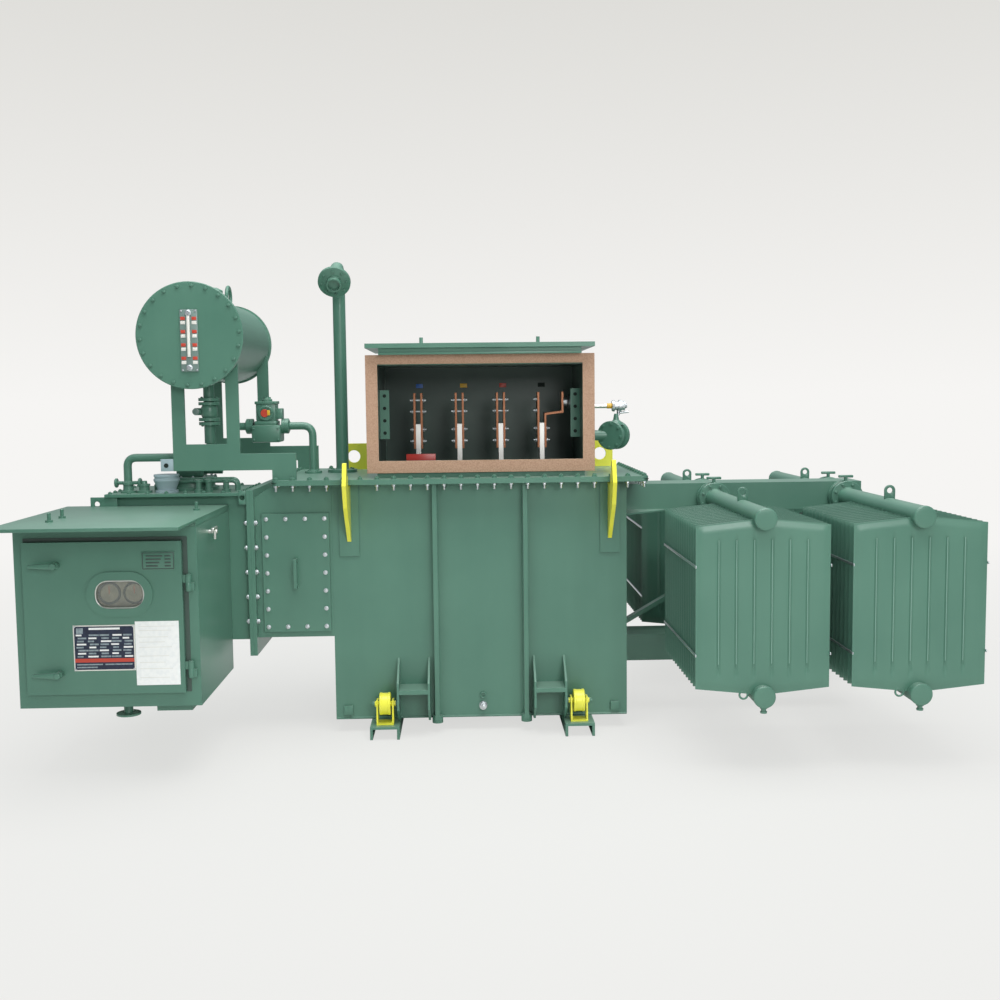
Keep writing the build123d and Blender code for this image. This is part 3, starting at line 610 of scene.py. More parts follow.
def make_cable_box_inside():
    """Bolts through the bars and palms, tags, and painted shade: dark discs in holes, dark sheets inside the
    cable box.
    """
    wide, deep, tall = (-443, 463), (-340, 166), (1150, 1638)
    # Dark sheets over the inside of the cable box: painted shade.
    shade_sheet = block(wide, (166, 167), tall, 0)
    sides = [block((-445, -444), deep, tall, 0), block((464, 465), deep, tall, 0)]
    floor = block(wide, deep, (1149, 1150), 0)
    top = block(wide, deep, (1638, 1640), 0)
    finished(joined(shade_sheet, floor, top, *sides), "cable_box_shade_sheet", "shade_green_enamel")
    left = []
    right = []
    for index in range(4):
        x = 10 + (index - 1.5) * 190
        for z in (1484, 1432, 1349, 1295):
            for y in (-122, -78):
                left.append((x - 21, y, z))
                if index < 3 or z < 1400:
                    right.append((x + 21, y, z))
    bolts("bar_bolts", [((-1, 0, 0), left), ((1, 0, 0), right)], 11, "zinc_plate")
    studs = []
    for x, y, z in left:
        reach = 37 if (x + 42, y, z) in right else -14
        studs.append(rod((x - 16, y, z), (x + 21 + reach, y, z), 4.5, 0.5, 10))
    finished(joined(*studs), "bar_studs", "zinc_plate")
    for name, paint, x in (
        ("first_phase_tag", "blue_enamel", -277),
        ("second_phase_tag", "amber_enamel", -64),
        ("third_phase_tag", "red_enamel", 126),
        ("neutral_tag", "black_and_painted_shade", 313),
    ):
        tag = block((x - 17, x + 17), (163, 166), (1542, 1562), 1)
        finished(tag, name, paint)
    strip = block((-322, -192), (-341, -336), (1188, 1247), 1)
    finished(strip, "bare_red_plate", "dark_red_enamel")
    upstand = block((-430, 450), (-318, 150), (1646, 1712), 2)
    skirt = block((-434, 454), (-402, -386), (1683, 1693), 1)
    finished(joined(upstand, skirt), "canopy_upstand", "green_enamel")
    holes = []
    # Dark discs in the flats' bores: painted shade.
    for x in (-423.5, 443.5):
        for z in (1337, 1393, 1449, 1505):
            holes.append(rod((x, -199, z), (x, -196, z), 8, 0.3, 16))
    finished(joined(*holes), "flat_hole_shades", "black_and_painted_shade")
    insulator = turned(
        (465, -100, 1470),
        (-1, 0, 0),
        [(0, 40), (8, 40), (8, 26), (20, 26), (24, 34), (30, 26), (42, 26), (46, 32), (52, 22), (70, 20)],
        32,
    )
    finished(insulator, "wall_bushing_turned", "zinc_plate", replaced=("lv_wall_bushing",))


def make_side_fittings():
    stub = turned(
        (471, -110, 1448),
        (1, 0, 0),
        [(0, 42), (12, 42), (12, 24), (66, 24), (68, 10), (127, 10)],
        32,
    )
    finished(stub, "neutral_stub_turned", "tinned_copper", replaced=("neutral_stub",))
    cock = turned(
        (622, -110, 1448),
        (1, 0, 0),
        [(0, 15), (1, 25), (12, 27), (14, 20), (30, 20), (32, 27), (44, 27), (46, 20)]
        + [(60, 22), (62, 12), (70, 10)],
        24,
    )
    lever = rod((660, -110, 1416), (700, -110, 1420), 5, 1, 16)
    stem = rod((652, -110, 1448), (652, -110, 1404), 7, 1, 16)
    finished(joined(cock, lever, stem), "stub_cock", "zinc_plate")
    tip = rod((597, -110, 1448), (623, -110, 1448), 12, 3)
    finished(tip, "stub_collar", "amber_enamel")
    way = Vector((0.55, 0.83, 0)).normalized()
    front = Vector((606, -162, 1313))
    body = turned(
        front,
        way,
        [(0, 40), (0, 64), (2, 66), (16, 66), (18, 64), (18, 50), (58, 50), (58, 64)]
        + [(60, 66), (76, 66), (78, 64)],
        40,
    )
    neck = rod((471, -130, 1313), (612, -130, 1313), 24)
    bonnet = turned((640, -125, 1360), (0, 0, 1), [(0, 34), (14, 26), (24, 14), (52, 9)], 24)
    finished(joined(body, neck, bonnet), "filter_valve_turned", "green_enamel", replaced=("filter_valve",))
    bolts("valve_bolts", [(-way, on_circle(front, -way, 55, 8))], 8, "green_enamel")


def make_relief_pipe():
    x = -652
    tube = pipe([(x, 120, 1143), (x, 120, 2153), (x, -60, 2036)], 30, 70)
    foot = turned((x, 120, 1143), (0, 0, 1), [(0, 69), (1, 70), (13, 70), (14, 69), (14, 34), (22, 31)], 40)
    way = Vector((0, -180, -117)).normalized()
    mouth = Vector((x, -60, 2036))
    pair = [(0, 73), (1, 75), (8, 75), (8.5, 73), (9.5, 73), (10, 75), (17, 75), (18, 73)]
    cap = turned(mouth, way, pair, 44)
    outlet = turned(mouth + way * 18, way, [(0, 34), (29, 34), (30, 33), (30, 27), (12, 26)], 32)
    finished(joined(tube, foot, cap, outlet), "relief_pipe", "green_enamel", replaced=("vent_pipe",))
    groups = [
        (way, on_circle(mouth + way * 18, way, 58, 8)),
        (-way, on_circle(mouth, way, 58, 8)),
        ((0, 0, 1), on_circle((x, 120, 1157), (0, 0, 1), 54, 6)),
    ]
    bolts("relief_pipe_bolts", groups, 7, "green_enamel")


def make_conservator():
    x, front, z = CONSERVATOR
    stations = [(0, 225), (2, 228), (11, 228), (12, 225), (13, 225), (14, 228), (23, 228), (25, 225)]
    stations += [(25, 188), (60, 187), (918, 187), (934, 188)]
    stations += [(935, 196), (945, 196), (946, 188), (954, 150), (958, 80)]
    shell = turned((x, front, z), (0, 1, 0), stations, 72)
    filler = [(0, 34), (18, 30), (56, 30), (56, 38), (66, 38), (68, 36), (80, 12)]
    neck = turned((x, 65, z + 170), (0, 0, 1), filler, 32)
    nodes = ("conservator_barrel", "conservator_ends")
    finished(joined(shell, neck), "conservator_shell", "green_enamel", replaced=nodes)
    loop = ring((x, 400, z + 182 + 52), (1, 0, 0), 49, 9)
    pad = block((x - 16, x + 16), (352, 448), (z + 172, z + 190), 2)
    finished(joined(loop, pad), "conservator_lifting_ring", "green_enamel")
    rim = on_circle((x, front, z), (0, -1, 0), 211, 22, 0.5)
    nuts = [Vector(p) + Vector((0, 25, 0)) for p in rim]
    bolts("conservator_bolts", [((0, -1, 0), rim), ((0, 1, 0), nuts)], 9, "green_enamel")


def make_oil_gauge():
    x, front, z = CONSERVATOR
    z -= 22
    plate = block((x - 38, x + 38), (front - 8, front), (z - 132, z + 132), 4)
    finished(plate, "gauge_plate", "grey_enamel", replaced=("oil_gauge",))
    ends = []
    for end in (-1, 1):
        middle = z + end * 116
        ends.append(turned((x, front - 8, middle), (0, -1, 0), [(0, 13), (8, 13), (10, 9), (16, 8)], 24))
    finished(joined(*ends), "gauge_unions", "zinc_plate")
    tube = rod((x, front - 16, z - 70), (x, front - 16, z + 104), 7, 1, 20)
    finished(tube, "gauge_tube", "white_enamel")
    for name, paint, lift in (
        ("gauge_red_marks", "red_enamel", 9),
        ("gauge_white_marks", "white_enamel", -9),
    ):
        marks = []
        for index in range(4):
            middle = z + (index - 1.5) * 56 + lift
            for low, high in ((x - 34, x - 14), (x + 14, x + 34)):
                marks.append(block((low, high), (front - 10, front - 8), (middle - 7, middle + 7), 0.8))
        finished(joined(*marks), name, paint)
    corners = [(x + a * 30, front - 8, z + b * 125) for a in (-1, 1) for b in (-1, 1)]
    bolts("gauge_screws", [((0, -1, 0), corners)], 4, "zinc_plate")


def make_conservator_piping():
    x = -1192
    y = -300
    line = rod((x, y, 1304), (x, y, 1604), 24)
    flanges = []
    for low in (1385, 1403, 1473, 1491):
        flanges.append(turned((x, y, low), (0, 0, 1), [(0, 45), (1, 46), (13, 46), (14, 45)], 32))
    body = turned((x, y, 1417), (0, 0, 1), [(0, 30), (12, 36), (44, 36), (56, 30)], 32)
    branch = rod((x - 34, y, 1445), (x - 66, y, 1445), 16, 2, 20)
    whole = joined(line, body, branch, *flanges)
    finished(whole, "conservator_valve_pipe", "green_enamel", replaced=("conservator_piping",))
    dial = turned((x - 56, y - 14, 1445), (0, -1, 0), [(0, 15), (6, 15), (7, 13)], 24)
    finished(dial, "valve_position_dial", "grey_enamel")
    upward = (0, 0, 1)
    groups = [
        (upward, on_circle((x, y, 1505), upward, 36, 6)),
        ((0, 0, -1), on_circle((x, y, 1385), upward, 36, 6)),
    ]
    bolts("conservator_valve_bolts", groups, 6, "green_enamel")


def make_gas_relay():
    x, y, z = -995, 60, 1369
    lower = block((x - 67, x + 67), (y - 67, y + 67), (z - 75, z + 6), 9)
    upper = block((x - 54, x + 50), (y - 54, y + 54), (z + 4, z + 26), 6)
    turret = block((x - 48, x + 46), (y - 44, y + 44), (z + 24, z + 112), 8)
    lid = block((x - 52, x + 50), (y - 48, y + 48), (z + 104, z + 118), 3)
    cap = turned((x, y, z + 118), (0, 0, 1), [(0, 24), (9, 24), (12, 18), (20, 17)], 24)
    side = block((x + 40, x + 74), (y - 26, y + 26), (z + 34, z + 84), 4)
    sight = turned((x, y - 44, z + 62), (0, -1, 0), [(0, 36), (9, 36), (11, 33), (11, 27), (7, 26)], 32)
    whole = joined(lower, upper, turret, lid, cap, side, sight)
    finished(whole, "gas_relay_casting", "green_enamel", replaced=("gas_relay",))
    disc = rod((x - 5, y - 48, z + 62), (x - 5, y - 54, z + 62), 19, 1, 20)
    finished(disc, "relay_float_red", "red_enamel")
    dot = block((x + 7, x + 20), (y - 56, y - 50), (z + 52, z + 76), 1)
    finished(dot, "relay_float_amber", "amber_enamel")
    corners = [(x + a * 40, y - 48, z + 111) for a in (-1, 1)]
    corners += [(x + a * 56, y - 67, z + low) for low in (-10, -62) for a in (-1, 1)]
    bolts("relay_screws", [((0, -1, 0), corners)], 6, "green_enamel")
    fall_x = -784
    left = pipe([(x - 67, y, z), (-1172, y, z), (-1172, y, 1615)], 18, 50)
    right = pipe([(x + 67, y, z), (fall_x, y, z), (fall_x, y, COVER_TOP)], 18, 50)
    flanges = []
    pair = [(0, 36), (15, 36), (15.5, 34), (16.5, 34), (17, 36), (32, 36), (38, 22)]
    for way in (-1, 1):
        flanges.append(turned((x + way * 67, y, z), (way, 0, 0), pair, 12))
    foot = turned((fall_x, y, COVER_TOP), (0, 0, 1), [(0, 40), (11, 40), (12, 38), (12, 22), (20, 19)], 32)
    whole = joined(left, right, foot, *flanges)
    finished(whole, "relay_pipework", "green_enamel", replaced=("relay_pipe",))
    round_foot = on_circle((fall_x, y, COVER_TOP + 12), (0, 0, 1), 30, 4)
    bolts("relay_foot_bolts", [((0, 0, 1), round_foot)], 6, "green_enamel")


def make_tap_changer():
    heights = (953, 843, 734, 624, 514)
    groups = []
    for way, x in ((-1, -1026), (1, -994)):
        places = [(x, y, z) for z in heights for y in (-373, 303)]
        groups.append(((way, 0, 0), places))
    bolts("joint_flange_bolts", groups, 13, "zinc_plate")
    places = round_the_edge((-1620, -1048), (-375, 85), 78)
    bolts("tap_changer_cover_bolts", [((0, 0, 1), [(x, y, 1089) for x, y in places])], 10, "green_enamel")
    x, y, top = -1313, -145, 1089
    head = turned(
        (x, y, top),
        (0, 0, 1),
        [(0, 120), (14, 120), (15, 118), (15, 104), (46, 100), (47, 112), (58, 112), (60, 110)],
        48,
    )
    gear = block((x - 58, x + 58), (y - 58, y + 58), (top + 60, top + 108), 6)
    shaft = rod((x + 58, y, top + 84), (x + 140, y, top + 84), 14)
    whole = joined(head, gear, shaft)
    finished(whole, "tap_changer_head_turned", "green_enamel", replaced=("tap_changer_head",))
    bolts("head_bolts", [((0, 0, 1), on_circle((x, y, top + 60), (0, 0, 1), 104, 12))], 7, "zinc_plate")
    stations = [(0, 50), (10, 50), (12, 40), (24, 44), (50, 55), (52, 57), (60, 57), (62, 53), (70, 53)]
    stations += [(72, 57), (80, 55)]
    can = turned((-1390, -300, top), (0, 0, 1), stations, 40)
    finished(can, "tap_changer_cylinder_turned", "pale_casting_enamel", replaced=("tap_changer_cylinder",))
    high = top + 155
    bow = pipe([(-1560, -300, top), (-1560, -300, high), (-1192, -300, high), (-1192, -300, 1306)], 18, 40)
    parts = [bow]
    socket = [(0, 34), (9, 34), (10, 32), (10, 23), (34, 22)]
    for place in (-1560, -1490):
        parts.append(turned((place, -300, top), (0, 0, 1), socket, 24))
    parts.append(turned((-1490, -300, top + 30), (0, 0, 1), [(0, 26), (8, 26), (10, 14), (22, 12)], 24))
    parts.append(turned((-1560, -300, top + 34), (0, 0, 1), [(0, 22), (3, 27), (14, 27), (17, 20)], 24))
    parts.append(rod((-1618, -300, top + 44), (-1502, -300, top + 44), 8, 1, 16))
    for place in (-1618, -1514):
        parts.append(rod((place, -300, top + 44), (place + 12, -300, top + 44), 21, 3, 24))
    finished(joined(*parts), "tap_changer_bow", "green_enamel", replaced=("tap_changer_bend",))
    tag = block((-1388, -1328), (-404, -396), (1188, 1241), 1)
    finished(tag, "support_side_plate", "pale_casting_enamel")
    # Dark disc in the plate's hole: painted shade.
    finished(rod((-1364, -406, 1213), (-1364, -403, 1213), 10, 0.3, 20), "support_plate_hole_shade", "black_and_painted_shade")
    runs = []
    for y, z, radius in ((-250, 1106, 8), (-225, 1112, 11), (-195, 1104, 7)):
        crest = z + 26
        route = [(-1450, y, top), (-1450, y, crest), (-1090, y, crest), (-1090, y, top)]
        runs.append(pipe(route, radius, 24))
    union = [(0, 20), (14, 20), (14, 13), (44, 13), (46, 19), (56, 19), (60, 8)]
    for x, y in ((-1200, -330), (-1120, -340), (-1240, -345)):
        runs.append(turned((x, y, top), (0, 0, 1), union, 20))
    finished(joined(*runs), "tap_changer_small_pipes", "green_enamel")
    lugs = []
    for left, right, hole_x, y, z in (
        (-1704, -1588, -1676, -378, 1046),
        (-1056, -1026, -1041, -396, 1068),
    ):
        lug = block((left, right), (y - 5, y + 5), (z - 30, z + 30), 0)
        bore = rod((hole_x, y - 12, z), (hole_x, y + 12, z), 12, 0.5, 20)
        cut(lug, bore)
        round_edges(lug, 1)
        lugs.append(lug)
    finished(joined(*lugs), "tap_changer_lugs", "green_enamel")


def make_inspection_cover_bolts():
    left, right, low, high = -945, -688, 486, 968
    columns = [(x, z) for x in (left, right) for z in spread(low, high, 80)]
    rows = [(x, z) for z in (low, high) for x in spread(left, right, 86)[1:-1]]
    places = [(x, -367, z) for x, z in columns + rows]
    bolts("inspection_cover_bolts", [((0, -1, 0), places)], 10, "zinc_plate")


def make_high_voltage_cover_bolts():
    places = round_the_edge((-360, 360), (410, 1030), 84)
    bolts("high_voltage_cover_bolts", [((0, 1, 0), [(x, 595, z) for x, z in places])], 11, "green_enamel")
    grips = []
    for x in (-180, 180):
        grips.append(pipe([(x, 595, 640), (x, 640, 640), (x, 640, 790), (x, 595, 790)], 8, 20))
    finished(joined(*grips), "high_voltage_cover_grips", "green_enamel")


def make_door_details():
    """What is fixed to the cabinet's door: a rating plate with plain fields, a sheet, and a dark frame of
    painted shade in the gap round the door.
    """
    front = DOOR_FACE
    plate = block((-1591, -1353), (front - 2, front), (451, 631), 1)
    finished(plate, "rating_plate", "white_enamel", "door")
    field = block((-1586, -1358), (front - 2.6, front - 2), (456, 626), 0)
    finished(field, "rating_plate_field", "navy_print", "door")
    bright = [(-1530, -1410, 613, 621)]
    dull = [(-1578, -1552, 598, 620)]
    for row in range(8):
        z = 592 - row * 12
        for index in range(5):
            start = -1580 + index * 45 + (row * 7 + index * 5) % 9
            length = 22 + (row * 11 + index * 17) % 19
            target = bright if (row + 2 * index) % 3 == 0 else dull
            target.append((start, min(start + length, -1362), z - 3.2, z + 3.2))
    dull += [(-1580, -1480, 474, 479), (-1470, -1366, 474, 479), (-1580, -1500, 463, 468)]
    for name, paint, marks in (
        ("rating_plate_values", "paper", bright),
        ("rating_plate_lines", "print_grey", dull),
    ):
        pieces = [block((a, b), (front - 3.2, front - 2.6), (low, high), 0) for a, b, low, high in marks]
        finished(joined(*pieces), name, paint, "door")
    stripe = block((-1586, -1358), (front - 3.1, front - 2.6), (485, 500), 0)
    finished(stripe, "rating_plate_stripe", "red_enamel", "door")
    sheet = block((-1352, -1183), (front - 1.2, front), (391, 643), 0)
    finished(sheet, "notice_sheet", "paper", "door")
    lines = []
    for row, z in enumerate((622, 606, 580, 560, 540, 505, 480, 455, 420)):
        end = -1200 - (row * 13) % 40
        lines.append(block((-1338, end), (front - 1.6, front - 1.2), (z, z + 2), 0))
    finished(joined(*lines), "notice_sheet_lines", "white_enamel", "door")
    embossed = block((-1317, -1190), (front - 3, front), (843, 915), 1)
    finished(embossed, "embossed_plate", "green_enamel", "door")
    raised = [block((-1313, -1194), (front - 4, front - 3), (z - 1.5, z + 1.5), 0) for z in (848, 910)]
    raised += [block((x - 1.5, x + 1.5), (front - 4, front - 3), (848, 910), 0) for x in (-1313, -1194)]
    for row in range(4):
        z = 898 - row * 13
        raised.append(block((-1300, -1236 - row * 6), (front - 4.5, front - 3), (z - 3, z + 3), 0.5))
        raised.append(block((-1228, -1204), (front - 4.5, front - 3), (z - 3, z + 3), 0.5))
    # The raised lines take the darker copy of the green enamel: painted shade along their relief.
    finished(joined(*raised), "embossed_plate_lines", "shade_green_enamel", "door")
    rim = pipe(
        [(-1406, front - 1, 803), (-1313, front - 1, 803), (-1313, front - 1, 697), (-1499, front - 1, 697)]
        + [(-1499, front - 1, 803), (-1406, front - 1, 803)],
        3,
        52,
    )
    finished(rim, "window_bead", "tinned_copper", "door")
    outline = [(0, 13), (2, 14), (26, 14), (28, 12), (46, 12), (48, 9)]
    for name, z in (("upper", 867), ("lower", 441)):
        lever = block((-1743, -1636), (front - 44, front - 27), (z - 13, z + 13), 0)
        for vertex in lever.data.vertices:
            if vertex.co.x < metres((-1700, 0, 0)).x:
                vertex.co.z = metres((0, 0, z)).z + (vertex.co.z - metres((0, 0, z)).z) * 0.5
                vertex.co.y += 5 * MM
        round_edges(lever, 5)
        boss = turned((-1645, front - 1, z), (0, -1, 0), outline, 24)
        spindle = rod((-1645, front - 26, z), (-1645, front + 22, z), 8, 0.5)
        handle = joined(boss, lever, spindle)
        node = "door_handle_" + name
        finished(handle, "handle_%s_rounded" % name, "green_enamel", name + "_handle", (node,))
    # Dark frame round the door: painted shade in the gap between door and cabinet.
    door_gap_shade = block((-1774, -1158), (-998, -996.4), (360, 963), 0)
    hollow = block((-1750, -1190), (-1010, -980), (384, 930), 0)
    cut(door_gap_shade, hollow)
    finished(door_gap_shade, "door_gap_painted_shade", "black_and_painted_shade", "door")
    corners = [(x, front - 2.5, z) for x in (-1585, -1359) for z in (457, 625)]
    bolts("rating_plate_rivets", [((0, -1, 0), corners)], 4, "zinc_plate", "door")


def make_cabinet_gear():
    """Instruments behind the door's window, the roof's studs and the side's T-bolt."""
    board = block((-1700, -1240), (-930, -918), (420, 900), 1)
    finished(board, "gear_board", "white_enamel")
    case = block((-1510, -1300), (-980, -930), (688, 812), 6)
    finished(case, "instrument_case", "beige_bakelite")
    for name, x in (("first", -1455), ("second", -1358)):
        rim = turned((x, -980, 750), (0, -1, 0), [(0, 44), (6, 44), (8, 41), (8, 36), (5, 35)], 36)
        finished(rim, name + "_dial_rim", "black_and_painted_shade")
        face = rod((x, -984, 750), (x, -986, 750), 35, 0.3)
        finished(face, name + "_dial_face", "beige_bakelite")
        hand = block((x - 1.5, x + 1.5), (-988, -986.5), (748, 778), 0.3)
        finished(hand, name + "_dial_hand", "red_enamel")
    studs = []
    for x, y in ((-1659, -1033), (-1662, -877), (-1190, -622)):
        studs.append(turned((x, y, 1036), (0, 0, 1), [(0, 14), (8, 14), (8, 7), (34, 7), (35, 6)], 16))
    finished(joined(*studs), "roof_studs", "green_enamel")
    stem = rod((-1109, -780, 963), (-1072, -780, 963), 8, 1, 16)
    bar = block((-1090, -1078), (-822, -742), (968, 982), 3)
    tail = rod((-1084, -780, 972), (-1084, -780, 932), 7, 1, 16)
    finished(joined(stem, bar, tail), "side_t_bolt", "tinned_copper")
    # Dark strips beside and above the door: painted shade where the frame sits back behind the door and
    # under the roof.
    strips = [
        block((-1164, -1146), (-999, -995), (358, 970), 0),
        block((-1776, -1164), (-999, -995), (956, 970), 0),
    ]
    finished(joined(*strips), "door_frame_painted_shade", "shade_green_enamel")
    hinges = []
    for z in (790, 448):
        for end, at in ((-31, -34), (31, 31)):
            hinges.append(turned((-1143, -1009, z + at), (0, 0, 1), [(0, 8), (1, 9), (2, 9), (3, 8)], 20))
    finished(joined(*hinges), "hinge_pin_ends", "green_enamel")


def make_roof():
    """Thin folded sheet over the cabinet, held off its top by spacers."""
    roof = [block((-1815, -1109), (-1276, -355), (1030, 1036), 1)]
    roof.append(block((-1814, -1110), (-1275.5, -1272), (1023, 1031), 0.5))
    roof.append(block((-1808, -1115), (-994, -990), (1008.5, 1031), 0.5))
    for x in (-1814, -1113):
        roof.append(block((x, x + 3), (-1274, -997), (1024, 1031), 0.5))
        roof.append(block((x, x + 3), (-996.5, -356), (1008.5, 1031), 0.5))
    roof += [rod((x, y, 1006), (x, y, 1031), 12) for x in (-1780, -1160) for y in (-940, -400)]
    finished(joined(*roof), "cabinet_roof_sheet", "green_enamel", replaced=("cabinet_roof",))


# A pressed panel, in millimetres from its middle, and the grid that its sheets are shaped on
SEAM_PITCH = 70
SEAM_COUNT = 6
PANEL_HALF_WIDTH = 265
PANEL_HALF_HEIGHT = 322.5
PANEL_PEAK = 23
PEAK_HALF_WIDTH = 46
PANEL_FLANGE = 9
PANEL_MIDDLE = 664.5
COLUMNS = sorted(
    {
        side * (seam * SEAM_PITCH - 35 + step)
        for side in (-1, 1)
        for seam in (1, 2, 3)
        for step in (-9, -5, -2, 2, 5, 9)
    }
    | {
        side * middle
        for side in (-1, 1)
        for middle in (0, 18, 53, 70, 88, 123, 140, 158, 193, 212, 232, 247, 258, 265)
    }
)
ROWS = (0, 0.012, 0.03, 0.06, 0.095, 0.11, 0.14, 0.5, 0.86, 0.89, 0.905, 0.94, 0.97, 0.988, 1)


def panel_sheet(side):
    """One pressed sheet of a panel about the origin: channels stand out between welded seams."""
    half = PANEL_HALF_WIDTH
    deselect()
    bpy.ops.mesh.primitive_grid_add(x_subdivisions=len(COLUMNS) - 1, y_subdivisions=len(ROWS) - 1, size=2)
    sheet = bpy.context.object
    for vertex in sheet.data.vertices:
        across = COLUMNS[round((vertex.co.x + 1) / 2 * (len(COLUMNS) - 1))]
        row = ROWS[round((vertex.co.y + 1) / 2 * (len(ROWS) - 1))] * 2 - 1
        peak = PANEL_PEAK * min(1, (half - abs(across)) / (half - PEAK_HALF_WIDTH))
        tall = PANEL_HALF_HEIGHT + peak
        height = row * tall
        rim = min(1, (half - abs(across) - PANEL_FLANGE) / 13, (tall - abs(height) - PANEL_FLANGE) / 13)
        rim = math.sin(max(0, rim) * math.pi / 2)
        off_seam = (abs(across) + SEAM_PITCH / 2) % SEAM_PITCH
        off_seam = min(off_seam, SEAM_PITCH - off_seam)
        in_field = abs(across) < 2.7 * SEAM_PITCH and abs(row) < 0.79
        groove = max(0, min(1, (9 - off_seam) / 6)) if in_field else 0
        deep = 1.3 + 4.7 * rim * (1 - 0.85 * groove)
        vertex.co = (across * MM, side * deep * MM, height * MM)
    return sheet


def make_panel():
    """A whole panel: two sheets welded along their rims."""
    panel = joined(panel_sheet(-1), panel_sheet(1))
    pick(panel)
    bpy.ops.object.mode_set(mode="EDIT")
    bpy.ops.mesh.select_all(action="DESELECT")
    bpy.ops.mesh.select_mode(type="EDGE")
    bpy.ops.mesh.select_non_manifold()
    bpy.ops.mesh.bridge_edge_loops()
    bpy.ops.mesh.select_all(action="SELECT")
    bpy.ops.mesh.normals_make_consistent(inside=False)
    bpy.ops.object.mode_set(mode="OBJECT")
    apply_place(panel)
    return panel


def make_radiators():
    """Four stacks of pressed panels on their pipes, with eyes, plugs, seam beads and painted seam
    highlights.
    """
    panel = make_panel()
    x = RADIATOR_MIDDLES[0]
    last = FIRST_PANEL + (PANEL_COUNT - 1) * PANEL_PITCH
    parts = []
    for index in range(PANEL_COUNT):
        place = metres((x, -(FIRST_PANEL + index * PANEL_PITCH), PANEL_MIDDLE))
        parts.append(copied(panel, Matrix.Translation(place)))
    bpy.data.objects.remove(panel)
    for z in PIPE_HEIGHTS:
        length = PIPE_FRONT - FIRST_PANEL + 5
        stations = [(0, 42), (length - 14, 42), (length - 12, 44), (length - 3, 44), (length, 41)]
        stations += [(length + 1, 36), (length + 1.5, 20)]
        parts.append(turned((x, -(FIRST_PANEL - 5), z), (0, -1, 0), stations, 36))
    drain = [(0, 15), (8, 15), (8, 10), (18, 10), (20, 14), (27, 13)]
    parts.append(turned((x, -1076, 275), (0, 0, -1), drain, 12))
    parts.append(ring((x - 74, -last, 316), (0, 1, 0), 16, 4))
    for seam in range(SEAM_COUNT):
        place = x + (seam - 2.5) * SEAM_PITCH
        parts.append(rod((place, -last - 1.5, 426), (place, -last - 1.5, 940), 3, 1, 12))
    inner = joined(*parts)
    outer = copied(inner, Matrix.Translation(Vector((RADIATOR_MIDDLES[1] - x, 0, 0)) * MM))
    for piece, name, place in ((inner, "inner", x), (outer, "outer", RADIATOR_MIDDLES[1])):
        rear = joined(mirrored_copy(piece), eye_plate((place, 530, 1050), 46, 60, 8, 12))
        front = joined(piece, eye_plate((place, -705, 1050), 46, 60, 8, 12))
        for whole, end in ((front, "front"), (rear, "rear")):
            node = "radiator_%s_%s" % (end, name)
            finished(whole, node + "_panels", "green_enamel", replaced=(node,))
        # Pale thin lines along each seam of the outer panel: painted highlight on the seam's edge.
        for side, end in ((-1, "front"), (1, "rear")):
            y = side * (last + 4.5)
            seams = []
            for seam in range(SEAM_COUNT):
                middle = place + (seam - 2.5) * SEAM_PITCH
                seams.append(rod((middle, y, 440), (middle, y, 930), 1.6, 0.4, 10))
            finished(joined(*seams), "%s_%s_seam_highlight_lines" % (end, name), "seam_highlight_enamel")


def make_tie_rods():
    """Flat strips that hold the panels' side edges at their pitch."""
    strips = []
    reach = (-(FIRST_PANEL + (PANEL_COUNT - 1) * PANEL_PITCH) - 14, -FIRST_PANEL + 14)
    for x in RADIATOR_MIDDLES:
        for z in (827, 477):
            for side in (-1, 1):
                low, high = sorted((x + side * 264, x + side * 268))
                strips.append(block((low, high), reach, (z - 5, z + 5), 0.8))
    front = joined(*strips)
    finished(joined(front, mirrored_copy(front)), "panel_tie_strips", "zinc_plate")


def make_radiator_valves():
    """Flanged shut-off valves and the pipes that lead from them to the panels."""
    parts = []
    levers = []
    ways = []
    flanged = [(0, 72), (2, 74), (13, 74), (14, 72), (15, 58), (50, 58), (52, 72), (53, 74), (64, 74)]
    flanged.append((66, 72))
    for x in RADIATOR_MIDDLES:
        for z in PIPE_HEIGHTS:
            parts.append(turned((x, -100, z), (0, -1, 0), flanged, 36))
            parts.append(turned((x, -166, z), (0, -1, 0), [(0, 46), (6, 43), (12, 42), (181, 42)], 36))
            levers.append(rod((x, -133, z + 50), (x, -133, z + 96), 8, 1, 16))
            levers.append(block((x - 34, x + 34), (-141, -125), (z + 88, z + 100), 3))
            ways.append((x, z))
    valves = joined(*parts)
    rear = mirrored_copy(valves)
    whole = joined(valves, rear)
    finished(whole, "radiator_valves_turned", "green_enamel", replaced=("radiator_valves", "radiator_necks"))
    front_levers = joined(*levers)
    finished(joined(front_levers, mirrored_copy(front_levers)), "valve_levers", "green_enamel")
    groups = []
    for side in (-1, 1):
        places = []
        for x, z in ways:
            places += on_circle((x, side * 166, z), (0, side, 0), 60, 8, 0.5)
        groups.append(((0, side, 0), places))
    bolts("radiator_valve_bolts", groups, 8, "green_enamel")


BACKDROP_NEAR = "#ebebe9"
BACKDROP_LOW = "#f6f5f3"
BACKDROP_HIGH = "#dcdbd7"

# The photograph's own camera, in metres and degrees
CAMERA_PLACE = (-0.1465, -5.4928, 1.495)
CAMERA_LENS = 42.48
CAMERA_DIP = 4.99
CAMERA_TURN = -1.70
CAMERA_ROLL = -0.64


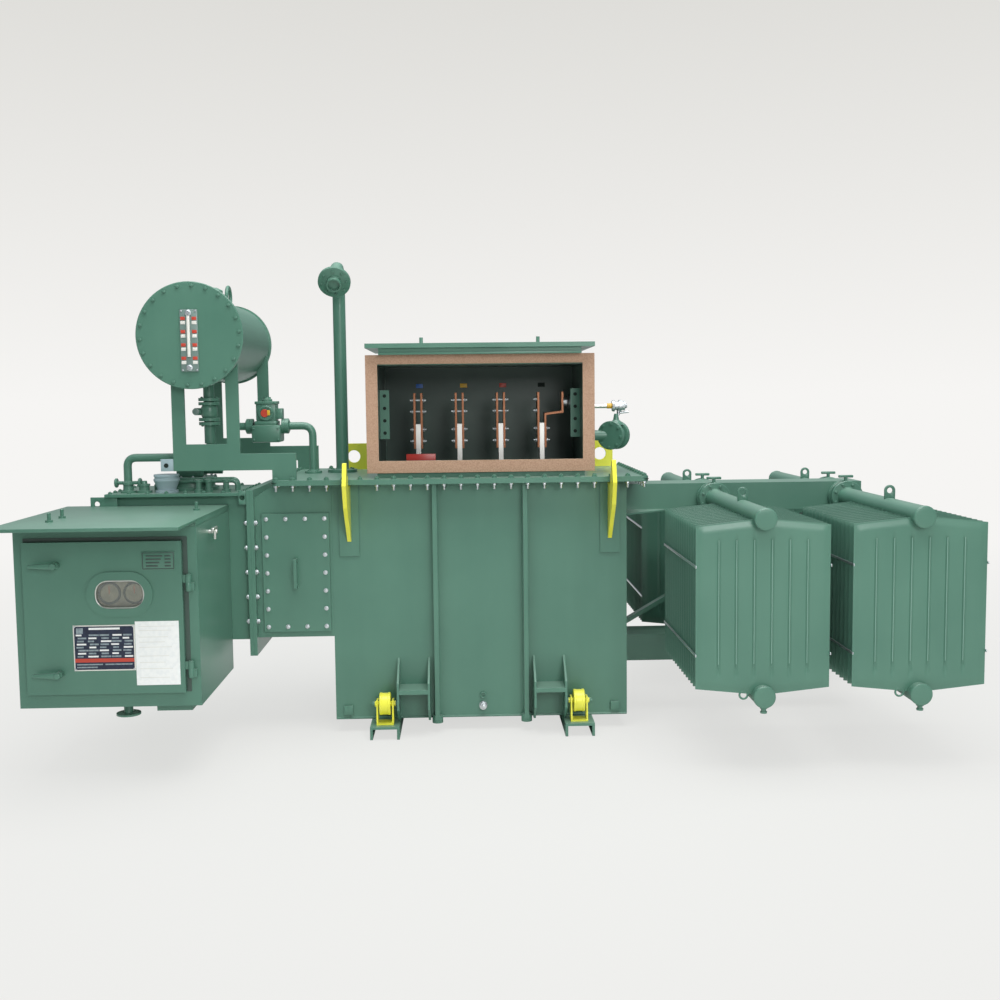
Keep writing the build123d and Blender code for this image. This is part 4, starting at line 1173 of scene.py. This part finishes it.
def make_studio():
    """Pale floor that keeps the shadow near the object, and a sky light from above."""
    deselect()
    bpy.ops.mesh.primitive_plane_add(size=80, location=(0, 0, -0.001))
    floor = bpy.context.object
    floor.name = "floor"
    tree = new_material("studio_floor")
    where = add_node(tree, "ShaderNodeTexCoord").outputs["Object"]
    away = add_node(tree, "ShaderNodeVectorMath", {"operation": "LENGTH"}, {0: where}).outputs["Value"]
    fade = add_node(
        tree,
        "ShaderNodeMapRange",
        inputs={"Value": away, "From Min": 1.6, "From Max": 3.4, "To Min": 0.8, "To Max": 1.0},
    )
    eye = add_node(tree, "ShaderNodeLightPath").outputs["Is Camera Ray"]
    share = add_node(tree, "ShaderNodeMath", {"operation": "MULTIPLY"}, {0: fade.outputs[0], 1: eye})
    matt = add_node(
        tree, "ShaderNodeBsdfPrincipled", inputs={"Base Color": linear("#dddcd8"), "Roughness": 0.9}
    )
    further = add_node(tree, "ShaderNodeMapRange", inputs={"Value": away, "From Min": 1.5, "From Max": 8.0})
    ground = add_node(
        tree,
        "ShaderNodeMix",
        {"data_type": "RGBA"},
        {"Factor": further.outputs[0], "A": linear(BACKDROP_NEAR), "B": linear(BACKDROP_LOW)},
    )
    glow = add_node(tree, "ShaderNodeEmission", inputs={"Color": ground.outputs["Result"]})
    blend = add_node(
        tree, "ShaderNodeMixShader", inputs={0: share.outputs[0], 1: matt.outputs[0], 2: glow.outputs[0]}
    )
    finish_material(tree, blend)
    floor.data.materials.append(paints["studio_floor"])

    world = bpy.data.worlds.new("studio_sky")
    world.use_nodes = True
    bpy.context.scene.world = world
    sky = world.node_tree
    sky.nodes.clear()
    upward = add_node(sky, "ShaderNodeTexCoord").outputs["Generated"]
    height = add_node(sky, "ShaderNodeSeparateXYZ", inputs={"Vector": upward}).outputs["Z"]
    lift = add_node(sky, "ShaderNodeMapRange", inputs={"Value": height, "From Min": -0.1, "From Max": 1.0})
    tone = add_node(
        sky,
        "ShaderNodeMix",
        {"data_type": "RGBA"},
        {"Factor": lift.outputs[0], "A": (0.17, 0.175, 0.175, 1), "B": (1.15, 1.27, 1.32, 1)},
    )
    light = add_node(sky, "ShaderNodeBackground", inputs={"Color": tone.outputs["Result"], "Strength": 0.6})
    rise = add_node(sky, "ShaderNodeMapRange", inputs={"Value": height, "From Min": 0.0, "From Max": 0.34})
    wall = add_node(
        sky,
        "ShaderNodeMix",
        {"data_type": "RGBA"},
        {"Factor": rise.outputs[0], "A": linear(BACKDROP_LOW), "B": linear(BACKDROP_HIGH)},
    )
    seen = add_node(sky, "ShaderNodeBackground", inputs={"Color": wall.outputs["Result"]})
    path = add_node(sky, "ShaderNodeLightPath")
    either = add_node(
        sky,
        "ShaderNodeMath",
        {"operation": "MAXIMUM"},
        {0: path.outputs["Is Camera Ray"], 1: path.outputs["Is Transmission Ray"]},
    )
    pick_sky = add_node(
        sky, "ShaderNodeMixShader", inputs={0: either.outputs[0], 1: light.outputs[0], 2: seen.outputs[0]}
    )
    add_node(sky, "ShaderNodeOutputWorld", inputs={"Surface": pick_sky.outputs[0]})

    for name, place, aim, size, power in (
        ("sky_lamp", (0.2, -1.2, 6.5), (0.2, 0.1, 0.5), 5.0, 410),
        ("front_lamp", (2.5, -10.0, 4.2), (0, 0, 0.8), 3.4, 332),
    ):
        deselect()
        bpy.ops.object.light_add(type="AREA", location=place)
        lamp = bpy.context.object
        lamp.name = name
        lamp.data.size = size
        lamp.data.energy = power
        lamp.rotation_euler = (Vector(aim) - Vector(place)).to_track_quat("-Z", "Y").to_euler()


def make_camera():
    """The photograph's own view: 42 mm lens, slightly above, turned and tilted a little."""
    deselect()
    bpy.ops.object.camera_add(location=CAMERA_PLACE)
    camera = bpy.context.object
    camera.name = "photo_camera"
    camera.data.lens = CAMERA_LENS
    camera.data.sensor_width = 36
    level = Euler((math.radians(90 - CAMERA_DIP), 0, math.radians(CAMERA_TURN))).to_quaternion()
    roll = Quaternion((0, 0, 1), math.radians(CAMERA_ROLL))
    camera.rotation_euler = (level @ roll).to_euler()
    bpy.context.scene.camera = camera


make_camera()
make_paints()
paint_nodes()
make_studio()
make_cover_bolts()
make_tank_details()
make_rollers()
make_cable_box_inside()
make_side_fittings()
make_relief_pipe()
make_conservator()
make_oil_gauge()
make_conservator_piping()
make_gas_relay()
make_tap_changer()
make_inspection_cover_bolts()
make_high_voltage_cover_bolts()
make_door_details()
make_cabinet_gear()
make_roof()
make_radiators()
make_tie_rods()
make_radiator_valves()
bpy.context.scene.view_settings.view_transform = "Standard"
